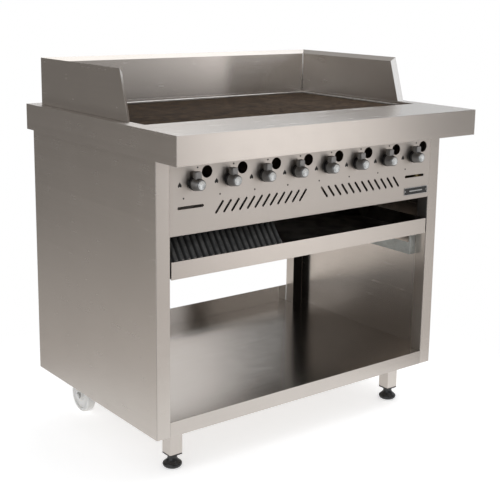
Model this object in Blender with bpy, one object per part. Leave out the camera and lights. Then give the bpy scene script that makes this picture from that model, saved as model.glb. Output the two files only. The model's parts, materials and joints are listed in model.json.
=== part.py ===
"""Freestanding eight-burner gas charbroiler with splash guard, drip tray and open lower shelf.

Units are metres. The origin lies on the floor under the middle of the worktop, +X points to the right
as seen by the cook, +Y points to the back and +Z points up, so the control panel faces -Y.
"""

import math

import bmesh
import bpy
from mathutils import Matrix, Vector

# ---------------------------------------------------------------- driving dimensions
WORKTOP_WIDTH = 1.009
WORKTOP_DEPTH = 0.764
WORKTOP_HEIGHT = 0.900
WORKTOP_LIP = 0.071
WORKTOP_SHEET = 0.0015

BODY_WIDTH = 0.976
BODY_FRONT = -0.2675
BODY_REAR = 0.3748
BODY_BOTTOM = 0.121
SKIN = 0.0012
FIT_GAP = 0.0003
FOLD_RADIUS = 0.0015

TUBE = 0.038
TUBE_WALL = 0.002
OPEN_END = 0.010

GUARD_WIDTH = 0.952
GUARD_REAR = 0.3413
GUARD_HEIGHT = 0.130
GUARD_FOLD = 0.012
GUARD_FRONT_BOTTOM = -0.1264
GUARD_FRONT_TOP = -0.0862

COOKING_FRONT = -0.180
INNER_LIP = 0.0225
LEDGE_HEIGHT = 0.8745

BURNERS = 8
BURNER_PITCH = 0.1083
BURNER_RADIUS = 0.0175
BURNER_HEIGHT = 0.735

GRATES = 4
GRATE_HEIGHT = 0.014
GRATE_WIDTH = 0.2265
GRATE_DEPTH = 0.495
GRATE_BARS = 22
GRATE_BAR = 0.0052
GRATE_CROSS_BARS = 3
CROSS_BAR = 0.009
CROSS_BAR_INSET = 0.018
CROSS_BAR_LOW = 0.001
CROSS_BAR_HIGH = 0.008

PANEL_BOTTOM = 0.636
BACK_PANEL_BOTTOM = 0.520
SHELF_UPSTAND = 0.055
KNOB_HEIGHT = 0.7615
KNOB_TRAVEL = 0.004
TRAY_BOTTOM = 0.530
TRAY_LIP_BOTTOM = 0.528
TRAY_LIP_TOP = 0.5725

LEG_X = 0.393
LEG_Y = -0.191
LEG_BOTTOM = 0.038
CASTOR_X = 0.405
CASTOR_Y = 0.264
WHEEL_RADIUS = 0.050
WHEEL_WIDTH = 0.030

# ---------------------------------------------------------------- places worked out from them
BODY_SIDE = BODY_WIDTH / 2
FRAME_SIDE = BODY_SIDE - SKIN - FIT_GAP
FRAME_FRONT = BODY_FRONT + SKIN + FIT_GAP
FRAME_REAR = BODY_REAR - SKIN - FIT_GAP
TUBE_INSIDE = FRAME_SIDE - TUBE
UNDERSIDE = WORKTOP_HEIGHT - WORKTOP_SHEET
RAIL_TOP = LEDGE_HEIGHT - SKIN - FIT_GAP
COOKING_SIDE = GUARD_WIDTH / 2 - GUARD_FOLD
COOKING_REAR = GUARD_REAR - GUARD_FOLD
COOKING_MIDDLE = (COOKING_FRONT + COOKING_REAR) / 2
FIREBOX_SIDE = TUBE_INSIDE - 0.0005 - SKIN
FIREBOX_FRONT = COOKING_FRONT + 0.0152
FIREBOX_REAR = COOKING_REAR - 0.0165
FIREBOX_BOTTOM = BURNER_HEIGHT - BURNER_RADIUS - FIT_GAP - SKIN
RADIANT_LEDGE = 0.7955
GRATE_PITCH = GRATE_WIDTH + 0.001
SHELF_TOP = BODY_BOTTOM + TUBE + FIT_GAP + SKIN
WORKTOP_REAR = WORKTOP_DEPTH / 2

SIDES = (("left", -1), ("right", 1))

# ---------------------------------------------------------------- materials: colour, metallic, roughness
FINISHES = {
    "brushed_stainless": ((0.62, 0.59, 0.56), 1.0, 0.32),
    "polished_stainless": ((0.66, 0.64, 0.61), 1.0, 0.18),
    "galvanised_steel": ((0.66, 0.68, 0.68), 0.9, 0.45),
    "cast_iron": ((0.050, 0.042, 0.036), 0.6, 0.70),
    "knob_metal": ((0.20, 0.20, 0.20), 0.9, 0.35),
    "bright_steel": ((0.75, 0.76, 0.78), 1.0, 0.25),
    "brass": ((0.60, 0.46, 0.22), 1.0, 0.35),
    "black_plastic": ((0.012, 0.012, 0.014), 0.0, 0.30),
    "badge_black": ((0.020, 0.020, 0.022), 0.2, 0.40),
    "nylon": ((0.62, 0.60, 0.57), 0.0, 0.45),
}


def material(finish):
    """The Principled material of one finish, made once."""
    if finish in bpy.data.materials:
        return bpy.data.materials[finish]
    colour, metallic, roughness = FINISHES[finish]
    made = bpy.data.materials.new(finish)
    made.use_nodes = True
    shader = made.node_tree.nodes["Principled BSDF"]
    shader.inputs["Base Color"].default_value = (*colour, 1.0)
    shader.inputs["Metallic"].default_value = metallic
    shader.inputs["Roughness"].default_value = roughness
    return made


# ---------------------------------------------------------------- mesh helpers
def link_mesh(name, bm):
    """Turn a bmesh into an object in the scene."""
    mesh = bpy.data.meshes.new(name)
    bm.to_mesh(mesh)
    bm.free()
    made = bpy.data.objects.new(name, mesh)
    bpy.context.scene.collection.objects.link(made)
    return made


def boxes(name, corners):
    """One object of axis-aligned boxes, each given by its low and high corner."""
    bm = bmesh.new()
    for low, high in corners:
        low = Vector(low)
        high = Vector(high)
        size = high - low
        place = Matrix.Translation((low + high) / 2) @ Matrix.Diagonal((*size, 1.0))
        bmesh.ops.create_cube(bm, size=1.0, matrix=place)
    return link_mesh(name, bm)


def box(name, low, high):
    """One axis-aligned box."""
    return boxes(name, [(low, high)])


def turned(name, profile, segments, centre, axis="Z"):
    """Spin a (radius, height) outline, closed on itself or by the axis, about an axis through centre."""
    bm = bmesh.new()
    ring = [bm.verts.new((radius, 0.0, height)) for radius, height in profile]
    pairs = zip(ring, ring[1:] + ring[:1])
    edges = [bm.edges.new((one, two)) for one, two in pairs if one.co.x > 0 or two.co.x > 0]
    bmesh.ops.spin(bm, geom=ring + edges, cent=(0, 0, 0), axis=(0, 0, 1), angle=math.tau,
                   steps=segments, use_merge=True)
    bmesh.ops.remove_doubles(bm, verts=bm.verts, dist=1e-6)
    bmesh.ops.recalc_face_normals(bm, faces=bm.faces)
    turn = {"X": Matrix.Rotation(math.pi / 2, 4, "Y"), "Y": Matrix.Rotation(math.pi / 2, 4, "X"),
            "Z": Matrix.Identity(4)}[axis]
    bm.transform(Matrix.Translation(centre) @ turn)
    return link_mesh(name, bm)


def rod(name, radius, start, end, segments=16):
    """A round bar between two points."""
    start = Vector(start)
    end = Vector(end)
    run = end - start
    bm = bmesh.new()
    turn = run.to_track_quat("Z", "Y").to_matrix().to_4x4()
    place = Matrix.Translation((start + end) / 2) @ turn
    bmesh.ops.create_cone(bm, cap_ends=True, segments=segments, radius1=radius, radius2=radius,
                          depth=run.length, matrix=place)
    return link_mesh(name, bm)


def ball(name, radius, centre, segments):
    """A faceted sphere."""
    bm = bmesh.new()
    bmesh.ops.create_uvsphere(bm, u_segments=segments, v_segments=segments // 2, radius=radius,
                              matrix=Matrix.Translation(centre))
    return link_mesh(name, bm)


def folded_sheet(name, faces, outward, thickness, fold_radius=0.0):
    """A sheet-metal part: its outer faces, thickened behind them, with its folds rounded."""
    bm = bmesh.new()
    for corners in faces:
        bm.faces.new([bm.verts.new(corner) for corner in corners])
    bmesh.ops.remove_doubles(bm, verts=bm.verts, dist=1e-6)
    bmesh.ops.recalc_face_normals(bm, faces=bm.faces)
    outward = Vector(outward)
    tip = max(bm.faces, key=lambda face: face.calc_center_median().dot(outward))
    if tip.normal.dot(outward) < 0:
        bmesh.ops.reverse_faces(bm, faces=bm.faces)
    made = link_mesh(name, bm)
    if fold_radius:
        bevel = made.modifiers.new("folds", "BEVEL")
        bevel.width = fold_radius
        bevel.segments = 2
        bevel.limit_method = "ANGLE"
        bevel.angle_limit = math.radians(30)
    skin = made.modifiers.new("thickness", "SOLIDIFY")
    skin.solidify_mode = "NON_MANIFOLD"
    skin.nonmanifold_thickness_mode = "CONSTRAINTS"
    skin.nonmanifold_boundary_mode = "NONE"
    skin.nonmanifold_merge_threshold = 0.0001
    skin.thickness = thickness
    skin.offset = -1.0
    return made


def bake(target):
    """Replace an object's mesh by what its modifiers make of it."""
    graph = bpy.context.evaluated_depsgraph_get()
    mesh = bpy.data.meshes.new_from_object(target.evaluated_get(graph))
    target.modifiers.clear()
    target.data = mesh


def combine(target, tools, operation):
    """Boolean the tools into the target one after another, and drop them."""
    for tool in tools:
        modifier = target.modifiers.new("boolean", "BOOLEAN")
        modifier.operation = operation
        modifier.solver = "EXACT"
        modifier.object = tool
        bake(target)
        bpy.data.objects.remove(tool, do_unlink=True)
    return target


def join(target, *tools):
    """Weld the tools onto the target."""
    return combine(target, tools, "UNION")


def cut(target, *tools):
    """Take the tools' shapes out of the target."""
    return combine(target, tools, "DIFFERENCE")


def finish(made, finish_name, origin=None, smooth=False):
    """Give the object its material and, for a moving piece, its origin on the joint's axis."""
    made.data.materials.clear()
    made.data.materials.append(material(finish_name))
    if origin:
        made.data.transform(Matrix.Translation(-Vector(origin)))
        made.location = origin
    if smooth:
        made.data.shade_smooth()
        made.data.set_sharp_from_angle(angle=math.radians(35))
    return made


def burner_x(index):
    """Middle of burner, valve and knob number index, counted from 0 at the left."""
    return (index - (BURNERS - 1) / 2) * BURNER_PITCH


# ---------------------------------------------------------------- welded tube frame
def frame_runs():
    """Low and high corners of every square tube in the frame."""
    low_rails = (BODY_BOTTOM, BODY_BOTTOM + TUBE)
    high_rails = (RAIL_TOP - TUBE, RAIL_TOP)
    runs = []
    for sign in (-1, 1):
        inner, outer = sorted((sign * TUBE_INSIDE, sign * FRAME_SIDE))
        for front in (FRAME_FRONT, FRAME_REAR - TUBE):
            runs.append(((inner, front, BODY_BOTTOM), (outer, front + TUBE, UNDERSIDE - FIT_GAP)))
        for bottom, top in (low_rails, high_rails):
            runs.append(((inner, FRAME_FRONT, bottom), (outer, FRAME_REAR, top)))
        leg_x = sign * LEG_X
        runs.append(((leg_x - TUBE / 2, LEG_Y - TUBE / 2, LEG_BOTTOM),
                     (leg_x + TUBE / 2, LEG_Y + TUBE / 2, BODY_BOTTOM + TUBE)))
    rear = FRAME_REAR - TUBE
    across = [(FRAME_FRONT, low_rails), (rear, low_rails), (FRAME_FRONT, high_rails), (rear, high_rails),
              (LEG_Y - TUBE / 2, low_rails), (CASTOR_Y - TUBE / 2, low_rails)]
    for front, (bottom, top) in across:
        runs.append(((-FRAME_SIDE, front, bottom), (FRAME_SIDE, front + TUBE, top)))
    return runs


def build_frame():
    """The tubes as one welded, hollow piece, open under the legs and on top of the uprights."""
    frame = None
    bores = None
    for low, high in frame_runs():
        tube = box("frame", low, high)
        low = Vector(low) + Vector((TUBE_WALL,) * 3)
        high = Vector(high) - Vector((TUBE_WALL,) * 3)
        if low.z < BODY_BOTTOM:
            low.z -= OPEN_END
        if high.z > RAIL_TOP:
            high.z += OPEN_END
        bore = box("bore", low, high)
        frame = join(frame, tube) if frame else tube
        bores = join(bores, bore) if bores else bore
    frame.name = "frame"
    return finish(cut(frame, bores), "brushed_stainless")


# ---------------------------------------------------------------- outer sheets
def build_side_panel(side, sign):
    """Side sheet with its front edge folded over the front upright."""
    outer = sign * BODY_SIDE
    inner = sign * TUBE_INSIDE
    bottom = BODY_BOTTOM
    top = UNDERSIDE - FIT_GAP
    side_face = [(outer, BODY_FRONT, bottom), (outer, BODY_REAR, bottom), (outer, BODY_REAR, top),
                 (outer, BODY_FRONT, top)]
    front_face = [(outer, BODY_FRONT, bottom), (outer, BODY_FRONT, top), (inner, BODY_FRONT, top),
                  (inner, BODY_FRONT, bottom)]
    panel = folded_sheet(f"side_panel_{side}", [side_face, front_face], (sign, 0, 0), SKIN, FOLD_RADIUS)
    return finish(panel, "brushed_stainless")


def rectangle(side, front, rear):
    """Plan corners, from the left front round to the left rear."""
    return [(-side, front), (side, front), (side, rear), (-side, rear)]


def ring_faces(outer_side, outer_front, outer_rear, inner_side, inner_front, inner_rear, height):
    """Four mitred faces between two rectangles at one height."""
    outer = rectangle(outer_side, outer_front, outer_rear)
    inner = rectangle(inner_side, inner_front, inner_rear)
    faces = []
    for index in range(4):
        after = (index + 1) % 4
        faces.append([(*outer[index], height), (*outer[after], height), (*inner[after], height),
                      (*inner[index], height)])
    return faces


def wall_faces(side, front, rear, bottom, top):
    """Four upright faces round a rectangle."""
    corners = rectangle(side, front, rear)
    faces = []
    for index in range(4):
        after = (index + 1) % 4
        faces.append([(*corners[index], bottom), (*corners[after], bottom), (*corners[after], top),
                      (*corners[index], top)])
    return faces


def build_worktop():
    """Top sheet with a deep outer lip and a short lip round the cooking opening."""
    edge = (WORKTOP_WIDTH / 2, -WORKTOP_REAR, WORKTOP_REAR)
    opening = (COOKING_SIDE, COOKING_FRONT, COOKING_REAR)
    faces = ring_faces(*edge, *opening, WORKTOP_HEIGHT)
    faces += wall_faces(*edge, WORKTOP_HEIGHT - WORKTOP_LIP, WORKTOP_HEIGHT)
    faces += wall_faces(*opening, WORKTOP_HEIGHT - INNER_LIP, WORKTOP_HEIGHT)
    worktop = folded_sheet("worktop", faces, (0, 0, 1), WORKTOP_SHEET, FOLD_RADIUS)
    return finish(worktop, "brushed_stainless")


def guard_outline(inset, front, height):
    """Left front, left rear, right rear and right front corner of the guard's U at one height."""
    side = GUARD_WIDTH / 2 - inset
    rear = GUARD_REAR - inset
    return [(-side, front, height), (-side, rear, height), (side, rear, height), (side, front, height)]


def build_splash_guard():
    """Double-skinned U with sloping front ends and 45 degree folds along its top and front edges.

    It is made a little too deep and trimmed, so that its foot is level.
    """
    foot = WORKTOP_HEIGHT + FIT_GAP
    trim = 0.010
    low = foot - trim
    top = WORKTOP_HEIGHT + GUARD_HEIGHT
    slope = (GUARD_FRONT_TOP - GUARD_FRONT_BOTTOM) / (top - foot)
    outer_front = GUARD_FRONT_BOTTOM - slope * trim
    inner_front = outer_front + GUARD_FOLD
    outer_low = guard_outline(0, outer_front, low)
    outer_high = guard_outline(0, GUARD_FRONT_TOP, top)
    inner_high = guard_outline(GUARD_FOLD, inner_front + slope * (top - GUARD_FOLD - low), top - GUARD_FOLD)
    inner_low = guard_outline(GUARD_FOLD, inner_front, low)
    faces = []
    for lower, upper in ((outer_low, outer_high), (outer_high, inner_high), (inner_high, inner_low)):
        for index in range(3):
            faces.append([lower[index], lower[index + 1], upper[index + 1], upper[index]])
    for index in (0, 3):
        faces.append([outer_low[index], outer_high[index], inner_high[index], inner_low[index]])
    guard = folded_sheet("splash_guard", faces, (1, 0, 0), SKIN)
    bake(guard)
    below = box("below", (-GUARD_WIDTH, -GUARD_WIDTH, foot - 3 * trim), (GUARD_WIDTH, GUARD_WIDTH, foot))
    return finish(cut(guard, below), "brushed_stainless")


def build_back_panel():
    """Upper back sheet with the hole for the gas pipe."""
    side = TUBE_INSIDE + TUBE / 2
    panel = box("back_panel", (-side, BODY_REAR - SKIN, BACK_PANEL_BOTTOM), (side, BODY_REAR, RAIL_TOP))
    through = 0.02
    hole = rod("hole", MANIFOLD_RADIUS + 0.002, (SUPPLY_X, BODY_REAR - through, SUPPLY_Z),
               (SUPPLY_X, BODY_REAR + through, SUPPLY_Z))
    return finish(cut(panel, hole), "brushed_stainless")


def build_shelf():
    """Floor of the lower compartment, notched round the uprights, with a front lip and a rear upstand."""
    side = FRAME_SIDE
    notch = TUBE_INSIDE - FIT_GAP
    lip = BODY_FRONT
    front = FRAME_FRONT + TUBE + FIT_GAP
    rear = FRAME_REAR - TUBE - FIT_GAP
    back = FRAME_REAR
    upstand = SHELF_TOP + SHELF_UPSTAND
    middle = [(-notch, lip), (notch, lip), (notch, front), (notch, rear), (notch, back), (-notch, back),
              (-notch, rear), (-notch, front)]
    faces = [[(x, y, SHELF_TOP) for x, y in middle]]
    for sign in (-1, 1):
        faces.append([(sign * notch, front, SHELF_TOP), (sign * side, front, SHELF_TOP),
                      (sign * side, rear, SHELF_TOP), (sign * notch, rear, SHELF_TOP)])
    for y, edge in ((back, upstand), (lip, BODY_BOTTOM)):
        faces.append([(-notch, y, SHELF_TOP), (notch, y, SHELF_TOP), (notch, y, edge), (-notch, y, edge)])
    shelf = folded_sheet("shelf", faces, (0, -1, 0), SKIN, 0.001)
    return finish(shelf, "polished_stainless")


# ---------------------------------------------------------------- control panel
SIGHT_OFFSET = (0.0390, 0.0255)
SIGHT_RADIUS = 0.0155
STEM_HOLE_RADIUS = 0.006
VENT_WIDTH = 0.0065
VENT_PITCH = 0.0246
VENT_RUN = 0.0240
VENT_RISE = 0.0310
VENT_MIDDLE_HEIGHT = 0.6945
VENTS = 12
VENT_BANK_X = (-0.302, 0.0435)
LONG_SLOT_WIDTH = 0.0075
LONG_SLOT_LENGTH = 0.077
LONG_SLOT_X = 0.388
LONG_SLOT_Z = 0.704
CUTTER_DEPTH = 0.006
PANEL_RETURN = 0.015
BADGE_LOW = (0.349, 0.650)
BADGE_HIGH = (0.442, 0.671)
BADGE_THICKNESS = 0.0012


def slot_cutter(bm, x, z, length, width, angle):
    """Add a round-ended bar across the panel to bm, turned by angle in the panel's plane."""
    radius = width / 2
    half = length / 2 - radius
    outline = []
    for centre, start in ((half, -math.pi / 2), (-half, math.pi / 2)):
        for step in range(4):
            turn = start + math.pi * step / 3
            outline.append((centre + radius * math.cos(turn), radius * math.sin(turn)))
    place = Matrix.Translation((x, BODY_FRONT, z)) @ Matrix.Rotation(-angle, 4, "Y")
    front = [bm.verts.new(place @ Vector((u, -CUTTER_DEPTH, v))) for u, v in outline]
    back = [bm.verts.new(place @ Vector((u, CUTTER_DEPTH, v))) for u, v in outline]
    bm.faces.new(front)
    bm.faces.new(list(reversed(back)))
    for index in range(len(outline)):
        after = (index + 1) % len(outline)
        bm.faces.new([front[after], front[index], back[index], back[after]])


def panel_cutters():
    """Everything cut out of the control panel, as one object of separate bars."""
    bm = bmesh.new()
    facing = Matrix.Rotation(math.pi / 2, 4, "X")
    for index in range(BURNERS):
        x = burner_x(index)
        holes = ((x + SIGHT_OFFSET[0], KNOB_HEIGHT + SIGHT_OFFSET[1], SIGHT_RADIUS, 16),
                 (x, KNOB_HEIGHT, STEM_HOLE_RADIUS, 8))
        for hole_x, hole_z, radius, segments in holes:
            bmesh.ops.create_cone(bm, cap_ends=True, segments=segments, radius1=radius, radius2=radius,
                                  depth=2 * CUTTER_DEPTH,
                                  matrix=Matrix.Translation((hole_x, BODY_FRONT, hole_z)) @ facing)
    lean = math.atan2(VENT_RISE, VENT_RUN)
    length = math.hypot(VENT_RUN, VENT_RISE)
    for bank_x, angle in ((VENT_BANK_X[0], lean), (VENT_BANK_X[1], -lean)):
        for index in range(VENTS):
            slot_cutter(bm, bank_x + index * VENT_PITCH, VENT_MIDDLE_HEIGHT, length, VENT_WIDTH, angle)
    for x in (-LONG_SLOT_X, LONG_SLOT_X):
        slot_cutter(bm, x, LONG_SLOT_Z, LONG_SLOT_LENGTH, LONG_SLOT_WIDTH, 0)
    bmesh.ops.recalc_face_normals(bm, faces=bm.faces)
    return link_mesh("cutters", bm)


def build_control_panel():
    """Front sheet with its lower edge folded back, and holes for stems, lighting and cooling."""
    side = TUBE_INSIDE - FIT_GAP
    front = [(-side, BODY_FRONT, PANEL_BOTTOM), (side, BODY_FRONT, PANEL_BOTTOM),
             (side, BODY_FRONT, RAIL_TOP), (-side, BODY_FRONT, RAIL_TOP)]
    back = BODY_FRONT + PANEL_RETURN
    under = [(-side, BODY_FRONT, PANEL_BOTTOM), (-side, back, PANEL_BOTTOM), (side, back, PANEL_BOTTOM),
             (side, BODY_FRONT, PANEL_BOTTOM)]
    panel = folded_sheet("control_panel", [front, under], (0, -1, 0), SKIN, FOLD_RADIUS)
    return finish(cut(panel, panel_cutters()), "brushed_stainless")


def build_badge():
    """Blank name plate."""
    rear = BODY_FRONT - FIT_GAP
    badge = box("badge_plate", (BADGE_LOW[0], rear - BADGE_THICKNESS, BADGE_LOW[1]),
                (BADGE_HIGH[0], rear, BADGE_HIGH[1]))
    return finish(badge, "badge_black")


# ---------------------------------------------------------------- gas train
VALVE_FRONT = -0.2600
VALVE_REAR = -0.2150
VALVE_HALF_WIDTH = 0.011
VALVE_RISE = 0.0145
INJECTOR_RADIUS = 0.005
INJECTOR_REAR = -0.186
MANIFOLD_Y = -0.2375
MANIFOLD_Z = 0.716
MANIFOLD_RADIUS = 0.0135
SUPPLY_X = 0.430
SUPPLY_Z = 0.690
STEM_RADIUS = 0.004
MOUTH_WALL = 0.004
MOUTH_DEPTH = 0.030
STEM_FRONT = -0.2930
STEM_REAR = -0.2400


def build_manifold():
    """Gas pipe with eight valve bodies and injectors, and its supply run to the back."""
    corner = (SUPPLY_X, MANIFOLD_Y, MANIFOLD_Z)
    drop = (SUPPLY_X, MANIFOLD_Y, SUPPLY_Z)
    pipe = rod("gas_manifold", MANIFOLD_RADIUS, (-0.425, MANIFOLD_Y, MANIFOLD_Z), corner, 12)
    outlet = (SUPPLY_X, WORKTOP_REAR - 0.001, SUPPLY_Z)
    elbow = MANIFOLD_RADIUS * 1.12
    pipe = join(pipe, ball("elbow", elbow, corner, 12), ball("elbow", elbow, drop, 12),
                rod("drop", MANIFOLD_RADIUS * 0.98, corner, drop, 12),
                rod("supply", MANIFOLD_RADIUS, drop, outlet, 12))
    overlap = 0.005
    stem_holes = []
    for index in range(BURNERS):
        x = burner_x(index)
        body = box("body", (x - VALVE_HALF_WIDTH, VALVE_FRONT, MANIFOLD_Z + VALVE_HALF_WIDTH),
                   (x + VALVE_HALF_WIDTH, VALVE_REAR, KNOB_HEIGHT + VALVE_RISE))
        injector = rod("injector", INJECTOR_RADIUS, (x, VALVE_REAR - overlap, BURNER_HEIGHT),
                       (x, INJECTOR_REAR, BURNER_HEIGHT), 8)
        pipe = join(pipe, body, injector)
        stem_holes.append(rod("stem_hole", STEM_RADIUS + FIT_GAP, (x, VALVE_FRONT - overlap, KNOB_HEIGHT),
                              (x, STEM_REAR + KNOB_TRAVEL + 0.001, KNOB_HEIGHT), 10))
    mouth = rod("mouth", MANIFOLD_RADIUS - MOUTH_WALL, (SUPPLY_X, WORKTOP_REAR - MOUTH_DEPTH, SUPPLY_Z),
                (SUPPLY_X, WORKTOP_REAR + OPEN_END, SUPPLY_Z), 12)
    return finish(cut(pipe, *stem_holes, mouth), "brass")


def build_valve_stem(index):
    """Stem that the knob sits on; it slides in its valve body."""
    x = burner_x(index)
    stem = rod(f"valve_stem_{index + 1}", STEM_RADIUS, (x, STEM_FRONT, KNOB_HEIGHT),
               (x, STEM_REAR, KNOB_HEIGHT), 10)
    return finish(stem, "bright_steel", origin=(x, STEM_FRONT, KNOB_HEIGHT))


KNOB_REAR = -0.2730
KNOB_FRONT = -0.3010
KNOB_RADIUS = 0.0175
KNOB_SKIRT = 0.0060
KNOB_NOSE_RADIUS = 0.0135
KNOB_FIN_WIDTH = 0.0165
KNOB_FIN_DEPTH = 0.0170
KNOB_FIN_REACH = 0.0310
KNOB_CAP_RADIUS = 0.0108
KNOB_CAP_PROUD = 0.0015
KNOB_STEP = 0.0005


def build_knob(index):
    """Tapered knob with a skirt, a pointer block on its top, a raised cap and a blind bore for the stem."""
    x = burner_x(index)
    depth = KNOB_REAR - KNOB_FRONT
    profile = [(0, 0), (KNOB_RADIUS, 0), (KNOB_RADIUS, KNOB_SKIRT), (KNOB_NOSE_RADIUS, depth),
               (KNOB_CAP_RADIUS, depth), (KNOB_CAP_RADIUS, depth + KNOB_CAP_PROUD),
               (0, depth + KNOB_CAP_PROUD)]
    knob = turned(f"knob_{index + 1}", profile, 16, (x, KNOB_REAR, KNOB_HEIGHT), "Y")
    fin = box("fin", (x - KNOB_FIN_WIDTH / 2, KNOB_REAR - KNOB_FIN_DEPTH, KNOB_HEIGHT + STEM_RADIUS),
              (x + KNOB_FIN_WIDTH / 2, KNOB_REAR - KNOB_STEP, KNOB_HEIGHT + KNOB_FIN_REACH))
    bore = rod("bore", STEM_RADIUS + FIT_GAP, (x, KNOB_REAR + OPEN_END, KNOB_HEIGHT),
               (x, STEM_FRONT - KNOB_STEP, KNOB_HEIGHT), 10)
    knob = cut(join(knob, fin), bore)
    return finish(knob, "knob_metal", origin=(x, KNOB_REAR, KNOB_HEIGHT), smooth=True)


# ---------------------------------------------------------------- firebox
SEAT_DEPTH = 0.028
BURNER_CLEARANCE = 0.0012
BURNER_FRONT = -0.190
BURNER_LENGTH = 0.490
BURNER_WALL = 0.0015
RADIANT_HALF_WIDTH = 0.042
RADIANT_RISE = 0.035
RADIANT_SHEET = 0.0015
RADIANT_EAVE = RADIANT_LEDGE + FIT_GAP + 0.0022
RADIANT_END_GAP = 0.003


def build_firebox():
    """Open-bottomed liner, given by its inner faces, with a ledge for grates and seats inside."""
    opening = (COOKING_SIDE - FIT_GAP, COOKING_FRONT + FIT_GAP, COOKING_REAR - FIT_GAP)
    inside = (FIREBOX_SIDE, FIREBOX_FRONT, FIREBOX_REAR)
    faces = ring_faces(*opening, *inside, LEDGE_HEIGHT)
    faces += wall_faces(*inside, FIREBOX_BOTTOM, LEDGE_HEIGHT)
    liner = folded_sheet("firebox", faces, (0, 0, 1), SKIN)
    bake(liner)
    seat = SEAT_DEPTH
    bite = SKIN / 2
    side = FIREBOX_SIDE + bite
    front = FIREBOX_FRONT - bite
    rear = FIREBOX_REAR + bite
    seats = [((-side, front, FIREBOX_BOTTOM), (side, front + seat, FIREBOX_BOTTOM + SKIN)),
             ((-side, rear - seat, FIREBOX_BOTTOM), (side, rear, FIREBOX_BOTTOM + SKIN)),
             ((-side, front, RADIANT_LEDGE - SKIN), (side, front + seat / 2, RADIANT_LEDGE)),
             ((-side, rear - seat / 2, RADIANT_LEDGE - SKIN), (side, rear, RADIANT_LEDGE))]
    liner = join(liner, *[box("seat", low, high) for low, high in seats])
    holes = []
    hole_z = BURNER_HEIGHT + BURNER_CLEARANCE / 2
    for index in range(BURNERS):
        x = burner_x(index)
        holes.append(rod("hole", BURNER_RADIUS + BURNER_CLEARANCE, (x, FIREBOX_FRONT - OPEN_END, hole_z),
                         (x, FIREBOX_FRONT + OPEN_END, hole_z), 12))
    return finish(cut(liner, *holes), "brushed_stainless")


def build_burner(index):
    """Tube burner with an open mouth in front and a closed rear end."""
    inner = BURNER_RADIUS - BURNER_WALL
    end = -BURNER_LENGTH
    profile = [(inner, 0), (BURNER_RADIUS, 0), (BURNER_RADIUS, end), (0, end), (0, end + BURNER_WALL),
               (inner, end + BURNER_WALL)]
    burner = turned(f"burner_{index + 1}", profile, 16, (burner_x(index), BURNER_FRONT, BURNER_HEIGHT), "Y")
    return finish(burner, "brushed_stainless", smooth=True)


def build_radiant(index):
    """Roof-shaped plate that keeps dripping fat off its burner."""
    x = burner_x(index)
    front = FIREBOX_FRONT + RADIANT_END_GAP
    rear = FIREBOX_REAR - RADIANT_END_GAP
    ridge = RADIANT_EAVE + RADIANT_RISE
    faces = []
    for reach in (-RADIANT_HALF_WIDTH, RADIANT_HALF_WIDTH):
        faces.append([(x + reach, front, RADIANT_EAVE), (x, front, ridge), (x, rear, ridge),
                      (x + reach, rear, RADIANT_EAVE)])
    radiant = folded_sheet(f"radiant_{index + 1}", faces, (0, 0, 1), RADIANT_SHEET)
    return finish(radiant, "cast_iron")


def build_grate(index):
    """Cast grate: bars from front to back on lower cross bars."""
    middle = (index - (GRATES - 1) / 2) * GRATE_PITCH
    low = LEDGE_HEIGHT + FIT_GAP
    front = COOKING_MIDDLE - GRATE_DEPTH / 2
    left = middle - GRATE_WIDTH / 2
    spacing = (GRATE_WIDTH - GRATE_BAR) / (GRATE_BARS - 1)
    bars = []
    for step in range(GRATE_BARS):
        x = left + step * spacing
        bars.append(((x, front, low), (x + GRATE_BAR, front + GRATE_DEPTH, low + GRATE_HEIGHT)))
    inset = GRATE_BAR / 4
    run = GRATE_DEPTH - 2 * CROSS_BAR_INSET - CROSS_BAR
    cross_bars = []
    for step in range(GRATE_CROSS_BARS):
        y = front + CROSS_BAR_INSET + step * run / (GRATE_CROSS_BARS - 1)
        cross_bars.append(((left + inset, y, low + CROSS_BAR_LOW),
                           (left + GRATE_WIDTH - inset, y + CROSS_BAR, low + CROSS_BAR_HIGH)))
    grate = join(boxes(f"grate_{index + 1}", bars), boxes("cross_bars", cross_bars))
    return finish(grate, "cast_iron", origin=(middle, COOKING_MIDDLE, low))


# ---------------------------------------------------------------- drip tray
TRAY_SIDE = 0.4442
TRAY_REAR = 0.290
RUNNER_WEB = 0.425
RUNNER_SHEET = 0.002
RUNNER_FRONT = FRAME_FRONT + TUBE + FIT_GAP
RUNNER_REAR = 0.330
RUNNER_BOTTOM = 0.4565
WINDOW_FRONT = RUNNER_FRONT + 0.006
WINDOW_REAR = 0.080
WINDOW_BOTTOM = 0.492
WINDOW_MARGIN = 0.006


def build_tray():
    """Open tray whose front wall is the visible lip."""
    faces = wall_faces(TRAY_SIDE, BODY_FRONT, TRAY_REAR, TRAY_BOTTOM, TRAY_LIP_TOP)
    faces.append([(-TRAY_SIDE, BODY_FRONT, TRAY_BOTTOM), (-TRAY_SIDE, TRAY_REAR, TRAY_BOTTOM),
                  (TRAY_SIDE, TRAY_REAR, TRAY_BOTTOM), (TRAY_SIDE, BODY_FRONT, TRAY_BOTTOM)])
    tray = folded_sheet("drip_tray", faces, (0, 0, -1), SKIN)
    bake(tray)
    skirt = box("skirt", (-TRAY_SIDE, BODY_FRONT, TRAY_LIP_BOTTOM),
                (TRAY_SIDE, BODY_FRONT + SKIN, TRAY_BOTTOM + SKIN / 2))
    return finish(join(tray, skirt), "polished_stainless", origin=(0, BODY_FRONT, TRAY_BOTTOM))


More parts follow.
